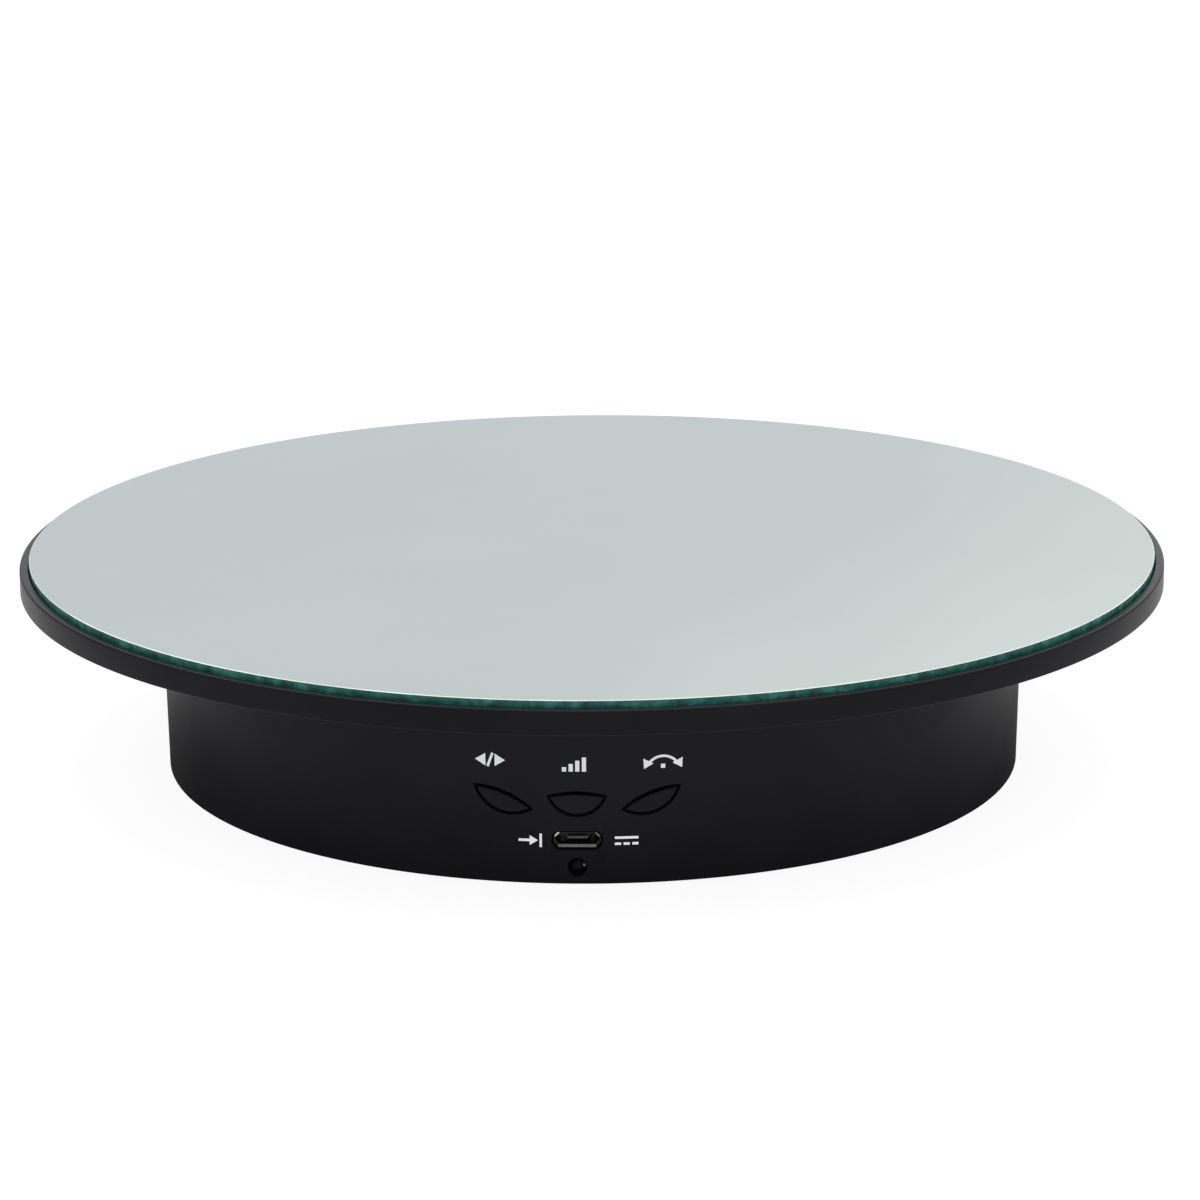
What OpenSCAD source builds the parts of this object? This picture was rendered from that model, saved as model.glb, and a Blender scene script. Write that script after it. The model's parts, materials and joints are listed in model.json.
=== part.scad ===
// Motorised turntable display stand: a mirror-topped platter that turns on a ball race over a round
// base, driven by a small geared motor through a pinion and a large gear.
// Millimetres, +Z up, origin on the table under the platter's axis, controls on the -Y side.

/* [Platter and mirror] */
// Diameter of the turning platter
platter_d = 200; // [198:1:206]
// Height of the platter's outer edge
platter_edge_h = 4.1; // [3.9:0.1:4.5]
// Width of the ledge left around the mirror
ledge_w = 1.7; // [1.4:0.1:2.4]
// Thickness of the mirror glass
glass_t = 2; // [1.8:0.1:2.2]
// Height of the glass above the ledge
glass_proud = 1.2; // [1:0.1:1.4]
// Height from the table to the mirror's top face
total_h = 39.2; // [39:0.1:40]

/* [Base] */
// Diameter of the base drum at its top
base_d = 151.2; // [150:0.2:158]
// How much the drum's radius shrinks down to its bottom edge
base_draft = 0.6; // [0:0.1:1]
// Thickness of the drum wall and of the deck
wall_t = 2.2; // [2:0.1:2.6]
// Height of the feet below the drum
foot_proud = 1.2; // [1:0.1:1.6]
// Diameter of each rubber foot
foot_d = 12; // [8:0.5:16]
// Distance from the axis to the feet
foot_at = 58; // [50:1:62]

/* [Controls] */
// Gap around each key in the drum wall
key_gap = 0.3; // [0.25:0.05:0.4]
// Travel of a key when pressed
key_travel = 0.5; // [0.3:0.1:0.6]
// Distance from the middle key to each outer key
key_pitch = 11.95; // [11.5:0.05:13]
// Tilt of the outer keys in degrees
key_tilt = 22; // [15:1:28]
// Height of the micro-USB socket above the drum's bottom edge
usb_z = 7.25; // [7:0.05:7.5]
// Height of the indicator lamp above the drum's bottom edge
led_z = 2.9; // [2.8:0.05:3.1]

/* [Drive] */
// Tooth module of the gear pair
gear_m = 1.25; // [1.25]
// Teeth on the drive gear
gear_teeth = 72; // [72]
// Teeth on the pinion
pinion_teeth = 12; // [12]
// Balls in the thrust race
ball_count = 16; // [12:1:18]
// Diameter of each ball
ball_d = 5; // [5]

/* [Hidden] */
$fn = 128;
cut = 1;                                     // how far a cutting shape runs past a face

// heights
base_z0 = foot_proud;                        // bottom edge of the drum
ledge_z = total_h - glass_proud;             // top of the platter's ledge
platter_z0 = ledge_z - platter_edge_h;       // bottom of the platter's edge
glass_z0 = total_h - glass_t;
tape_t = 0.3;
TAPE_RINGS = [[72, 84], [20, 32]];            // inner and outer radius of each ring of tape
recess_z = glass_z0 - tape_t;                // floor of the mirror's recess
plate_t = 1.6;
plate_z0 = recess_z - plate_t;               // underside of the platter's plate
rib_root_z = recess_z - plate_t / 2;         // where ribs and bosses end, inside the plate
running_gap = 1.3;                           // between the platter and the deck
deck_z = platter_z0 - running_gap;           // top of the base
well_depth = 6;
floor_z = deck_z - well_depth;               // floor of the gear well
floor_z0 = floor_z - wall_t;                 // underside of that floor
cover_t = 1.8;
cover_z1 = base_z0 + cover_t;                // inside face of the bottom cover

// radii
platter_r = platter_d / 2;
mirror_r = platter_r - ledge_w;
mirror_gap = 0.15;
rim_t = 2.2;
edge_bevel = 0.4;
rib_t = 1.4;                                 // platter ribs
rib_ring_r = [46, 81.4];                     // outer radius of each ring of rib
rib_count = 12;
base_r = base_d / 2;
well_r = 62;

// thrust race
race_r = 24.5;                               // pitch circle of the balls
race_half_w = 4.5;
race_t = 2;
groove_r = ball_d / 2 + 0.15;
groove_depth = 0.9;
race_seat_w = 1.5;                           // platter's seat beyond the race
ball_play = 0.02;
ball_z = floor_z + race_t - groove_depth + ball_d / 2 + ball_play;
race_top = 2 * ball_z - floor_z;             // top face of the upper race
cage_t = 1.6;
cage_half_w = 4;
pocket_gap = 0.1;

// spindle
spindle_r = 4;
spindle_fit = 0.03;                          // radial running clearance
bush_r = 5.5;
bush_flange_r = 8;
bush_flange_t = 1;
boss_r = 8;
boss_z0 = 14.4;
hub_r = 9;
hub_z0 = 29;
spindle_z1 = recess_z - 0.8;
washer_t = 0.5;
washer_r = 7.5;
axial_play = 0.1;
clip_t = 0.9;
clip_r = 6.5;
clip_groove_r = 3.2;
clip_z1 = boss_z0 - axial_play - washer_t;
spindle_tail = 1;
spindle_chamfer = 0.4;
clip_mouth_half = 2.4;                       // half the width of the clip's open side
clip_fit = 0.02;

// gears
pressure_angle = 20;
gear_r = gear_m * gear_teeth / 2;            // pitch radius of the drive gear
pinion_r = gear_m * pinion_teeth / 2;
shaft_y = gear_r + pinion_r;                 // distance between the two axes
tooth_thinning = 0.1;                        // taken off each flank, as backlash
gear_root = 1.2 * gear_m;                    // depth of the gear's teeth inside the pitch circle
gear_tip = 0.7 * gear_m;                     // and their height outside it
pinion_root = 0.96 * gear_m;
pinion_tip = gear_m;
gear_z0 = floor_z + 1;
gear_h = 4;
gear_web_t = 2;
gear_bore_r = 31.5;
gear_rim_r = 40.3;
gear_rim_overlap = 1;                        // how far the web reaches into the rim
gear_collar_t = 1.2;                         // wall around the gear's bore
pinion_z0 = gear_z0 - 0.2;
pinion_h = gear_h + 0.4;
gear_screw_at = 37;
gear_screw_count = 6;
gear_boss_r = 3.5;                           // platter boss over each gear screw
gear_pad_r = 4;                              // gear boss under it
gear_screw_r = 1.3;
gear_screw_hole_r = 1.5;
gear_head_r = 2.4;
gear_head_t = 1.6;
gear_head_seat = 2;                          // depth of the counterbore for each head
head_side_gap = 0.3;                         // around a screw head in its counterbore

// motor: flat can with its output shaft off centre
can_r = 14;
can_h = 19;
can_wall = 0.6;
shaft_offset = 8;
motor_y = shaft_y - shaft_offset;
can_z0 = floor_z0 - can_h;
ear_t = 0.8;
ear_at = 17.5;
ear_r = 3.5;
ear_hole_r = 2.1;
shaft_boss_r = 4.5;
shaft_boss_h = 1.5;
shaft_r = 2.5;
shaft_flat = 3;                              // thickness across the shaft's two flats
shaft_fit = 0.03;
shaft_z0 = floor_z0 - 3;
shaft_z1 = pinion_z0 + pinion_h + 0.6;
m3_r = 1.5;
m3_hole_r = 1.7;
core_h = 8;                                  // coils and magnets at the closed end of the can
core_bore_r = 6.5;
can_fit = 0.05;                              // between the can and what fits in or on it
csk_r = 2.9;
csk_h = 1.4;
motor_screw_len = 7.5;
shaft_boss_gap = 0.25;                       // around the motor's boss in the floor
flat_start = 0.5;                            // height above the boss where the flats start
nut_r = 3.175;
nut_h = 2.4;
cap_half_w = 7.3;
cap_y0 = motor_y - 17;
cap_z0 = can_z0 + 1;
cap_h = 15;
lead_socket = 2;                             // how far each lead goes into the cap and the plug

// ribbon of motor leads: straight, two equal bends, straight
lead_r = 0.6;
lead_sides = 12;
lead_count = 5;
lead_pitch = 1.5;
lead_z = 9.5;
lead_bend_r = 16;
lead_bend_a = 40;
lead_bend_y = 0;                             // where the first bend starts
lead_shift = 2 * lead_bend_r * (1 - cos(lead_bend_a));
lead_run = 2 * lead_bend_r * sin(lead_bend_a);

// control board, upright behind the front wall
board_y = -base_r + 10.3;                    // front face of the board
window_y = -base_r + 6.3;                    // inner end of the cuts through the front wall
board_t = 1.6;
board_w = 56;
board_h = 21;
board_z0 = cover_z1 + 0.2;
board_back = board_y + board_t;
board_screw_x = 25;
board_screw_z = [8, 22];
board_boss_r = 2.6;
board_boss_hole = 3.2;                       // depth of its pilot hole
m2_r = 1;
m2_hole_r = 1.1;
m2_head_r = 1.9;
m2_head_h = 1.3;
m2_reach = 2.8;                              // how far the screw goes in front of the board

// motor header and plug on the back of the board
header_size = [14.9, 7, 5.8];
header_wall = 0.8;
header_floor = 1.2;
plug_size = [12.7, 9, 3.8];
pin_w = 0.64;
pin_hole_w = 0.8;
pin_pitch = 2.5;
pin_len = 5;
pin_gap = 0.5;                               // between a pin's end and its hole's end

// keys: [middle of the chord x, height above the drum's edge, tilt, chord, rise above, drop below]
direction_key = [-key_pitch, 14.6, -key_tilt, 10.2, 1.0, 2.65];
speed_key = [0, 15, 0, 9.6, 0.75, 3.45];
angle_key = [key_pitch, 14.6, key_tilt, 10.2, 1.0, 2.65];
KEYS = [direction_key, speed_key, angle_key];
key_tab_t = 1;
key_tab_grow = 1.1;
key_tab_half_w = 2.6;
key_wall_gap = 0.1;                          // between a key's tabs and the wall behind them
stem_r = 1.7;
switch_w = 6;
switch_t = 3.2;
switch_floor_t = 1;
switch_cover_t = 0.3;
switch_cover_inset = 0.1;
plunger_r = 1.75;
plunger_bore_r = 1.85;
plunger_out = 1.5;                           // how far the plunger stands out of the switch
plunger_spare = 0.2;                         // left under a plunger that is pressed fully
plunger_tip_y = board_y - switch_t - switch_cover_t - plunger_out;
key_low_z = 5;                               // band of the drum that holds the keys
key_high_z = 23;

// micro-USB socket
usb_shell_w = 7.6;
usb_shell_h = 2.7;
usb_shell_t = 0.3;
usb_bevel = 0.9;
usb_bevel_h = 1.17;
usb_corner = 0.35;
usb_back_t = 1;
usb_mouth_y = -base_r + 1;
usb_slot_gap = 0.4;
usb_tongue_w = 4;
usb_tongue_t = 0.65;
usb_tongue_len = 6;
usb_tongue_rise = 0.25;                      // above the middle of the socket
usb_contact_setback = 0.4;
usb_contact_side = 2;                        // contacts on each side of the middle one
usb_contact_pitch = 0.65;
usb_contact_w = 0.35;
usb_contact_t = 0.12;

// indicator lamp
led_r = 1.5;
led_gap = 0.05;
led_flange_r = 1.9;
led_tip_y = -base_r + 1.3;
led_body_len = 3.7;
led_flange_t = 1;
led_lead_root = 0.5;                         // length of each lead inside the lamp
led_lead_r = 0.25;
led_lead_pitch = 2.54;

// cover screws and posts
post_at = 66;
post_r = 3.5;
post_z0 = cover_z1 + 1.8;
post_hole_depth = 10;
cover_screw_r = 1.4;
cover_screw_len = 9;
cover_edge_gap = 0.3;
cup_r = 4.4;
cover_ring_r = 46;                           // stiffening ring inside the cover
cover_ring_t = 1.4;
foot_pocket_gap = 0.2;
foot_bevel = 0.4;
board_notch_half = 2.4;                      // notch in the cover below the socket
board_notch_depth = 0.8;
screw_head_r = 2.8;
screw_head_h = 2;
head_gap = 0.4;

// parts on the back of the board: [x0, x1, z0, z1, thickness]
driver_chip_box = [-15.5, -5.5, 9, 13, 1.75];
controller_chip_box = [-9, -4, 16.5, 20.5, 1.5];
capacitor_at = [-19.5, 17.5];
capacitor_r = 3.15;
capacitor_len = 7.7;

// colours
black_plastic = [0.11, 0.11, 0.12];
dark_rubber = [0.06, 0.06, 0.06];
steel = [0.72, 0.73, 0.75];
bronze = [0.70, 0.52, 0.30];
nylon = [0.92, 0.91, 0.86];
board_green = [0.06, 0.30, 0.18];
gold = [0.86, 0.68, 0.28];

function drum_r(z) = base_r - base_draft * (deck_z - z) / (deck_z - base_z0);
function arc_r(chord, rise) = (chord * chord / 4 + rise * rise) / (2 * rise);
function key_z(key) = base_z0 + key[1];
// middle of a key's face, where its stem and its switch are: [x, z]
function key_drop(key) = (key[5] - key[4]) / 2;
function key_press(key) = [key[0] + key_drop(key) * sin(key[2]), key_z(key) - key_drop(key) * cos(key[2])];

// involute tooth outline
function involute(a) = tan(a) * 180 / PI - a;
function half_tooth(r, pitch_r, teeth) =
    90 / teeth - tooth_thinning / pitch_r * 180 / PI + involute(pressure_angle)
    - involute(acos(min(1, pitch_r * cos(pressure_angle) / r)));
function at(r, a) = [r * cos(a), r * sin(a)];
function flank(pitch_r, teeth, root_r, tip_r, steps) =
    let(start_r = max(root_r, pitch_r * cos(pressure_angle)))
    concat(
        root_r < start_r ? [[root_r, half_tooth(start_r, pitch_r, teeth)]] : [],
        [for (i = [0 : steps]) let(r = start_r + (tip_r - start_r) * i / steps)
            [r, half_tooth(r, pitch_r, teeth)]]
    );
function gear_outline(pitch_r, teeth, root_r, tip_r, steps) =
    let(f = flank(pitch_r, teeth, root_r, tip_r, steps), last = len(f) - 1)
    [for (t = [0 : teeth - 1], i = [0 : 2 * last + 1])
        i <= last
            ? at(f[i][0], 360 / teeth * t - f[i][1])
            : at(f[2 * last + 1 - i][0], 360 / teeth * t + f[2 * last + 1 - i][1])];

module ring(z0, z1, r_in, r_out) {
    translate([0, 0, z0]) difference() {
        cylinder(h = z1 - z0, r = r_out);
        translate([0, 0, -cut]) cylinder(h = z1 - z0 + 2 * cut, r = r_in);
    }
}
module block(x0, x1, y0, y1, z0, z1) {
    translate([x0, y0, z0]) cube([x1 - x0, y1 - y0, z1 - z0]);
}
// the drum's tapered outside between two heights, shrunk by inset
module drum(z0, z1, inset) {
    translate([0, 0, z0]) cylinder(h = z1 - z0, r1 = drum_r(z0) - inset, r2 = drum_r(z1) - inset);
}
// the two crossed slots of a screw head, from z0 to z1
module cross_slots(half, slot_t, z0, z1, turn) {
    for (a = [turn, turn + 90]) rotate([0, 0, a]) block(-half, half, -slot_t / 2, slot_t / 2, z0, z1);
}
// round bar along Y from y0 to y1
module bar_y(x, z, y0, y1, r) {
    translate([x, y1, z]) rotate([90, 0, 0]) cylinder(h = y1 - y0, r = r);
}
module around(count, at_r, start) {
    for (i = [0 : count - 1]) rotate([0, 0, start + 360 / count * i]) translate([at_r, 0, 0]) children();
}
// leaf-shaped prism of one key along Y, each arc moved outwards by grow
module leaf(key, y0, y1, grow) {
    low_r = arc_r(key[3], key[5]);
    high_r = arc_r(key[3], key[4]);
    translate([key[0], y1, key_z(key)]) rotate([90, 0, 0]) rotate([0, 0, key[2]]) intersection() {
        translate([0, low_r - key[5], 0]) cylinder(h = y1 - y0, r = low_r + grow);
        translate([0, key[4] - high_r, 0]) cylinder(h = y1 - y0, r = high_r + grow);
    }
}

module mirror_glass() {
    color([0.77, 0.80, 0.80]) translate([0, 0, glass_z0]) cylinder(h = glass_t, r = mirror_r);
}
module mirror_tape() {
    color([0.85, 0.85, 0.83]) for (band = TAPE_RINGS) ring(recess_z, glass_z0, band[0], band[1]);
}

module platter_shell() {
    rotate_extrude() polygon([
        [0, plate_z0], [platter_r - rim_t, plate_z0], [platter_r - rim_t, platter_z0],
        [platter_r - edge_bevel, platter_z0], [platter_r, platter_z0 + edge_bevel],
        [platter_r, ledge_z - edge_bevel], [platter_r - edge_bevel, ledge_z],
        [mirror_r + mirror_gap, ledge_z], [mirror_r + mirror_gap, recess_z], [0, recess_z]
    ]);
}
module platter() {
    gear_z1 = gear_z0 + gear_h;
    color(black_plastic) difference() {
        union() {
            platter_shell();
            ring(race_top, rib_root_z, hub_r, race_r + race_half_w + race_seat_w);
            translate([0, 0, hub_z0]) cylinder(h = rib_root_z - hub_z0, r = hub_r);
            for (r = rib_ring_r) ring(platter_z0, rib_root_z, r - rib_t, r);
            for (i = [0 : rib_count - 1]) rotate([0, 0, 360 / rib_count * (i + 0.5)])
                block(rib_ring_r[0] - rib_t / 2, platter_r - rim_t / 2, -rib_t / 2, rib_t / 2,
                      platter_z0, rib_root_z);
            around(gear_screw_count, gear_screw_at, 0)
                translate([0, 0, gear_z1]) cylinder(h = rib_root_z - gear_z1, r = gear_boss_r);
        }
        translate([0, 0, hub_z0 - cut]) cylinder(h = spindle_z1 - hub_z0 + cut, r = spindle_r);
        around(gear_screw_count, gear_screw_at, 0)
            translate([0, 0, gear_z0]) cylinder(h = plate_z0 - gear_z0, r = gear_screw_r);
    }
}

module drive_gear() {
    color(nylon) difference() {
        union() {
            translate([0, 0, gear_z0]) linear_extrude(gear_h) difference() {
                polygon(gear_outline(gear_r, gear_teeth, gear_r - gear_root, gear_r + gear_tip, 2));
                circle(r = gear_rim_r);
            }
            ring(gear_z0 + gear_h - gear_web_t, gear_z0 + gear_h, gear_bore_r, gear_rim_r + gear_rim_overlap);
            ring(gear_z0, gear_z0 + gear_h, gear_bore_r, gear_bore_r + gear_collar_t);
            around(gear_screw_count, gear_screw_at, 0)
                translate([0, 0, gear_z0]) cylinder(h = gear_h, r = gear_pad_r);
        }
        around(gear_screw_count, gear_screw_at, 0) {
            translate([0, 0, gear_z0 - cut]) cylinder(h = gear_h + 2 * cut, r = gear_screw_hole_r);
            translate([0, 0, gear_z0 - cut])
                cylinder(h = cut + gear_head_seat, r = gear_head_r + head_side_gap);
        }
    }
}
module gear_screws() {
    seat_z = gear_z0 + gear_head_seat;
    tip_gap = 0.5;
    color(steel) around(gear_screw_count, gear_screw_at, 0) difference() {
        union() {
            translate([0, 0, seat_z - gear_head_t]) cylinder(h = gear_head_t, r = gear_head_r);
            translate([0, 0, seat_z]) cylinder(h = plate_z0 - tip_gap - seat_z, r = gear_screw_r);
        }
        cross_slots(1.4, 0.5, seat_z - gear_head_t - cut, seat_z - gear_head_t / 2, 0);
    }
}

module spindle() {
    tail_z = clip_z1 - clip_t - spindle_tail;
    color(steel) rotate_extrude() polygon([
        [0, tail_z], [spindle_r - spindle_chamfer, tail_z], [spindle_r, tail_z + spindle_chamfer],
        [spindle_r, clip_z1 - clip_t], [clip_groove_r, clip_z1 - clip_t], [clip_groove_r, clip_z1],
        [spindle_r, clip_z1], [spindle_r, spindle_z1], [0, spindle_z1]
    ]);
}
module spindle_washer() {
    color(steel) ring(clip_z1, clip_z1 + washer_t, spindle_r, washer_r);
}
module retaining_clip() {
    color([0.35, 0.36, 0.38]) difference() {
        ring(clip_z1 - clip_t, clip_z1, clip_groove_r + clip_fit, clip_r);
        block(-clip_mouth_half, clip_mouth_half, 0, clip_r + cut, clip_z1 - clip_t - cut, clip_z1 + cut);
    }
}

module race_groove() {
    rotate_extrude() translate([race_r, 0]) circle(r = groove_r);
}
module lower_race() {
    groove_z = floor_z + race_t - groove_depth + groove_r;
    color(steel) difference() {
        ring(floor_z, floor_z + race_t, race_r - race_half_w, race_r + race_half_w);
        translate([0, 0, groove_z]) race_groove();
    }
}
module upper_race() {
    groove_z = race_top - race_t + groove_depth - groove_r;
    color(steel) difference() {
        ring(race_top - race_t, race_top, race_r - race_half_w, race_r + race_half_w);
        translate([0, 0, groove_z]) race_groove();
    }
}
module ball_cage() {
    color(nylon) difference() {
        ring(ball_z - cage_t / 2, ball_z + cage_t / 2, race_r - cage_half_w, race_r + cage_half_w);
        around(ball_count, race_r, 0)
            translate([0, 0, ball_z - cage_t]) cylinder(h = 2 * cage_t, r = ball_d / 2 + pocket_gap);
    }
}
module bearing_balls() {
    color(steel) around(ball_count, race_r, 0) translate([0, 0, ball_z]) sphere(d = ball_d);
}
module spindle_bush() {
    color(bronze) difference() {
        union() {
            translate([0, 0, boss_z0]) cylinder(h = floor_z - boss_z0, r = bush_r);
            translate([0, 0, floor_z]) cylinder(h = bush_flange_t, r = bush_flange_r);
        }
        translate([0, 0, boss_z0 - cut]) cylinder(h = floor_z - boss_z0 + 2 * cut + bush_flange_t,
                                                  r = spindle_r + spindle_fit);
    }
}

module housing_shell() {
    well_out = well_r + wall_t;
    rotate_extrude() polygon([
        [bush_r, boss_z0], [boss_r, boss_z0], [boss_r, floor_z0], [well_out, floor_z0],
        [well_out, deck_z - wall_t], [drum_r(deck_z - wall_t) - wall_t, deck_z - wall_t],
        [drum_r(base_z0) - wall_t, base_z0], [drum_r(base_z0), base_z0],
        [drum_r(deck_z - edge_bevel), deck_z - edge_bevel], [base_r - edge_bevel, deck_z],
        [well_r, deck_z], [well_r, floor_z], [bush_r, floor_z]
    ]);
}
// six-sided mouth of the socket, wide above and bevelled below, along Y
module usb_prism(y0, y1, grow) {
    w = usb_shell_w / 2 + grow;
    h = usb_shell_h / 2 + grow;
    translate([0, y1, base_z0 + usb_z]) rotate([90, 0, 0]) linear_extrude(y1 - y0) polygon([
        [-w + usb_bevel, -h], [w - usb_bevel, -h], [w, -h + usb_bevel_h], [w, h - usb_corner],
        [w - usb_corner, h], [-w + usb_corner, h], [-w, h - usb_corner], [-w, -h + usb_bevel_h]
    ]);
}
// stiffening ribs under the floor, clear of the motor and the keys
module floor_ribs() {
    rib_h = 4;
    half_t = 0.8;
    root = 0.5;
    for (a = [0, 45, 135, 180, 225, 315]) rotate([0, 0, a])
        block(boss_r - root, well_r + wall_t / 2, -half_t, half_t, floor_z0 - rib_h, floor_z0 + wall_t / 2);
}
// holes for the motor's boss and its two countersunk screws
module motor_holes() {
    csk_rim = 0.1;
    translate([0, shaft_y, floor_z0 - cut])
        cylinder(h = wall_t + 2 * cut, r = shaft_boss_r + shaft_boss_gap);
    for (x = [-ear_at, ear_at]) translate([x, motor_y, 0]) {
        translate([0, 0, floor_z0 - cut]) cylinder(h = wall_t + 2 * cut, r = m3_hole_r);
        translate([0, 0, floor_z - csk_h - csk_rim])
            cylinder(h = csk_h + csk_rim, r1 = m3_hole_r, r2 = csk_r + m3_hole_r - m3_r);
    }
}
module base_housing() {
    color(black_plastic) difference() {
        union() {
            housing_shell();
            floor_ribs();
            around(4, post_at, 45)
                translate([0, 0, post_z0]) cylinder(h = deck_z - wall_t / 2 - post_z0, r = post_r);
            intersection() {
                for (x = [-board_screw_x, board_screw_x], z = board_screw_z)
                    bar_y(x, z, -base_r, board_y, board_boss_r);
                drum(base_z0, deck_z, wall_t / 2);
            }
        }
        around(4, post_at, 45)
            translate([0, 0, post_z0 - cut]) cylinder(h = post_hole_depth + cut, r = cover_screw_r);
        for (x = [-board_screw_x, board_screw_x], z = board_screw_z)
            bar_y(x, z, board_y - board_boss_hole, board_y + cut, m2_r);
        for (key = KEYS) leaf(key, -base_r - cut, window_y, key_gap);
        usb_prism(-base_r - cut, window_y, usb_slot_gap);
        bar_y(0, base_z0 + led_z, -base_r - cut, window_y, led_r + led_gap);
        motor_holes();
    }
}
module bottom_cover() {
    cover_r = drum_r(base_z0) - wall_t - cover_edge_gap;
    color(black_plastic) difference() {
        union() {
            translate([0, 0, base_z0]) cylinder(h = cover_t, r = cover_r);
            around(4, post_at, 45) translate([0, 0, base_z0]) cylinder(h = post_z0 - base_z0, r = cup_r);
            ring(base_z0, cover_z1 + cover_ring_t, cover_ring_r, cover_ring_r + cover_ring_t);
        }
        around(4, post_at, 45) translate([0, 0, base_z0 - cut]) {
            cylinder(h = cut + screw_head_h + head_gap, r = screw_head_r + head_side_gap);
            cylinder(h = post_z0 + cut, r = m3_hole_r);
        }
        around(4, foot_at, 0) translate([0, 0, base_z0 - cut])
            cylinder(h = cut + cover_t / 2, r = foot_d / 2 + foot_pocket_gap);
        block(-board_notch_half, board_notch_half, -base_r, board_y - 1,
              cover_z1 - board_notch_depth, cover_z1 + cut);
    }
}
module rubber_feet() {
    color(dark_rubber) around(4, foot_at, 0) {
        translate([0, 0, foot_bevel]) cylinder(h = base_z0 + cover_t / 2 - foot_bevel, d = foot_d);
        cylinder(h = foot_bevel, d1 = foot_d - 2 * foot_bevel, d2 = foot_d);
    }
}
module cover_screws() {
    head_z = base_z0 + head_gap;
    color(steel) around(4, post_at, 45) difference() {
        union() {
            translate([0, 0, head_z]) cylinder(h = screw_head_h, r = screw_head_r);
            translate([0, 0, head_z + screw_head_h]) cylinder(h = cover_screw_len, r = cover_screw_r);
        }
        cross_slots(1.7, 0.6, head_z - cut, head_z + screw_head_h * 0.65, 0);
    }
}

module motor_case() {
    color(steel) translate([0, motor_y, 0]) difference() {
        union() {
            translate([0, 0, can_z0]) cylinder(h = can_h, r = can_r);
            for (x = [-ear_at, ear_at]) translate([x, 0, floor_z0 - ear_t]) cylinder(h = ear_t, r = ear_r);
            block(-ear_at, ear_at, -ear_r, ear_r, floor_z0 - ear_t, floor_z0);
            translate([0, shaft_offset, floor_z0]) cylinder(h = shaft_boss_h, r = shaft_boss_r);
        }
        for (x = [-ear_at, ear_at])
            translate([x, 0, floor_z0 - ear_t - cut]) cylinder(h = ear_t + 2 * cut, r = ear_hole_r);
        translate([0, 0, can_z0 + can_wall]) cylinder(h = can_h - can_wall - ear_t, r = can_r - can_wall);
        translate([0, shaft_offset, floor_z0 - ear_t - cut])
            cylinder(h = ear_t + shaft_boss_h + 2 * cut, r = shaft_r + shaft_fit);
    }
}
module motor_core() {
    color(bronze) translate([0, motor_y, 0])
        ring(can_z0 + can_wall, can_z0 + can_wall + core_h, core_bore_r, can_r - can_wall - can_fit);
}
module motor_wire_cap() {
    color([0.20, 0.35, 0.65]) difference() {
        block(-cap_half_w, cap_half_w, cap_y0, motor_y - can_r / 2, cap_z0, cap_z0 + cap_h);
        translate([0, motor_y, cap_z0 - cut]) cylinder(h = cap_h + 2 * cut, r = can_r + can_fit);
        for (i = [0 : lead_count - 1])
            bar_y((i - (lead_count - 1) / 2) * lead_pitch, lead_z,
                  cap_y0 - cut, cap_y0 + lead_socket, lead_r);
    }
}
module motor_screws() {
    color(steel) for (x = [-ear_at, ear_at]) translate([x, motor_y, 0]) difference() {
        union() {
            translate([0, 0, floor_z - csk_h]) cylinder(h = csk_h, r1 = m3_r, r2 = csk_r);
            translate([0, 0, floor_z - motor_screw_len]) cylinder(h = motor_screw_len - csk_h, r = m3_r);
        }
        cross_slots(1.5, 0.6, floor_z - 1, floor_z + cut, 45);
    }
}
module motor_nuts() {
    nut_z1 = floor_z0 - ear_t;
    color(steel) for (x = [-ear_at, ear_at]) translate([x, motor_y, nut_z1 - nut_h]) difference() {
        rotate([0, 0, 30]) cylinder(h = nut_h, r = nut_r, $fn = 6);
        translate([0, 0, -cut]) cylinder(h = nut_h + 2 * cut, r = m3_r);
    }
}
// shaft section with two flats, from z0 to z1
module flatted_shaft(z0, z1) {
    intersection() {
        translate([0, 0, z0]) cylinder(h = z1 - z0, r = shaft_r);
        block(-shaft_r, shaft_r, -shaft_flat / 2, shaft_flat / 2, z0, z1);
    }
}
module motor_shaft() {
    round_z1 = floor_z0 + shaft_boss_h + flat_start;
    color(steel) translate([0, shaft_y, 0]) {
        translate([0, 0, shaft_z0]) cylinder(h = round_z1 - shaft_z0, r = shaft_r);
        flatted_shaft(round_z1 - flat_start, shaft_z1);
    }
}
module pinion() {
    color(bronze) translate([0, shaft_y, 0]) difference() {
        translate([0, 0, pinion_z0]) rotate([0, 0, 180 / pinion_teeth]) linear_extrude(pinion_h)
            polygon(gear_outline(pinion_r, pinion_teeth, pinion_r - pinion_root, pinion_r + pinion_tip, 4));
        flatted_shaft(pinion_z0 - cut, pinion_z0 + pinion_h + cut);
    }
}

// route of one lead, offset sideways from the ribbon's middle: [x, y, heading from -Y]
function lead_route(offset) =
    let(r1 = lead_bend_r - offset, r2 = lead_bend_r + offset, steps = 6, y2 = lead_bend_y - lead_run)
    concat(
        [[offset, cap_y0 + lead_socket, 0]],
        [for (i = [0 : steps]) let(a = lead_bend_a * i / steps)
            [lead_bend_r - r1 * cos(a), lead_bend_y - r1 * sin(a), a]],
        [for (i = [steps - 1 : -1 : 0]) let(a = lead_bend_a * i / steps)
            [lead_shift - lead_bend_r + r2 * cos(a), y2 + r2 * sin(a), a]],
        [[lead_shift + offset, board_back + header_floor + plug_size[1] - lead_socket, 0]]
    );
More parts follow.
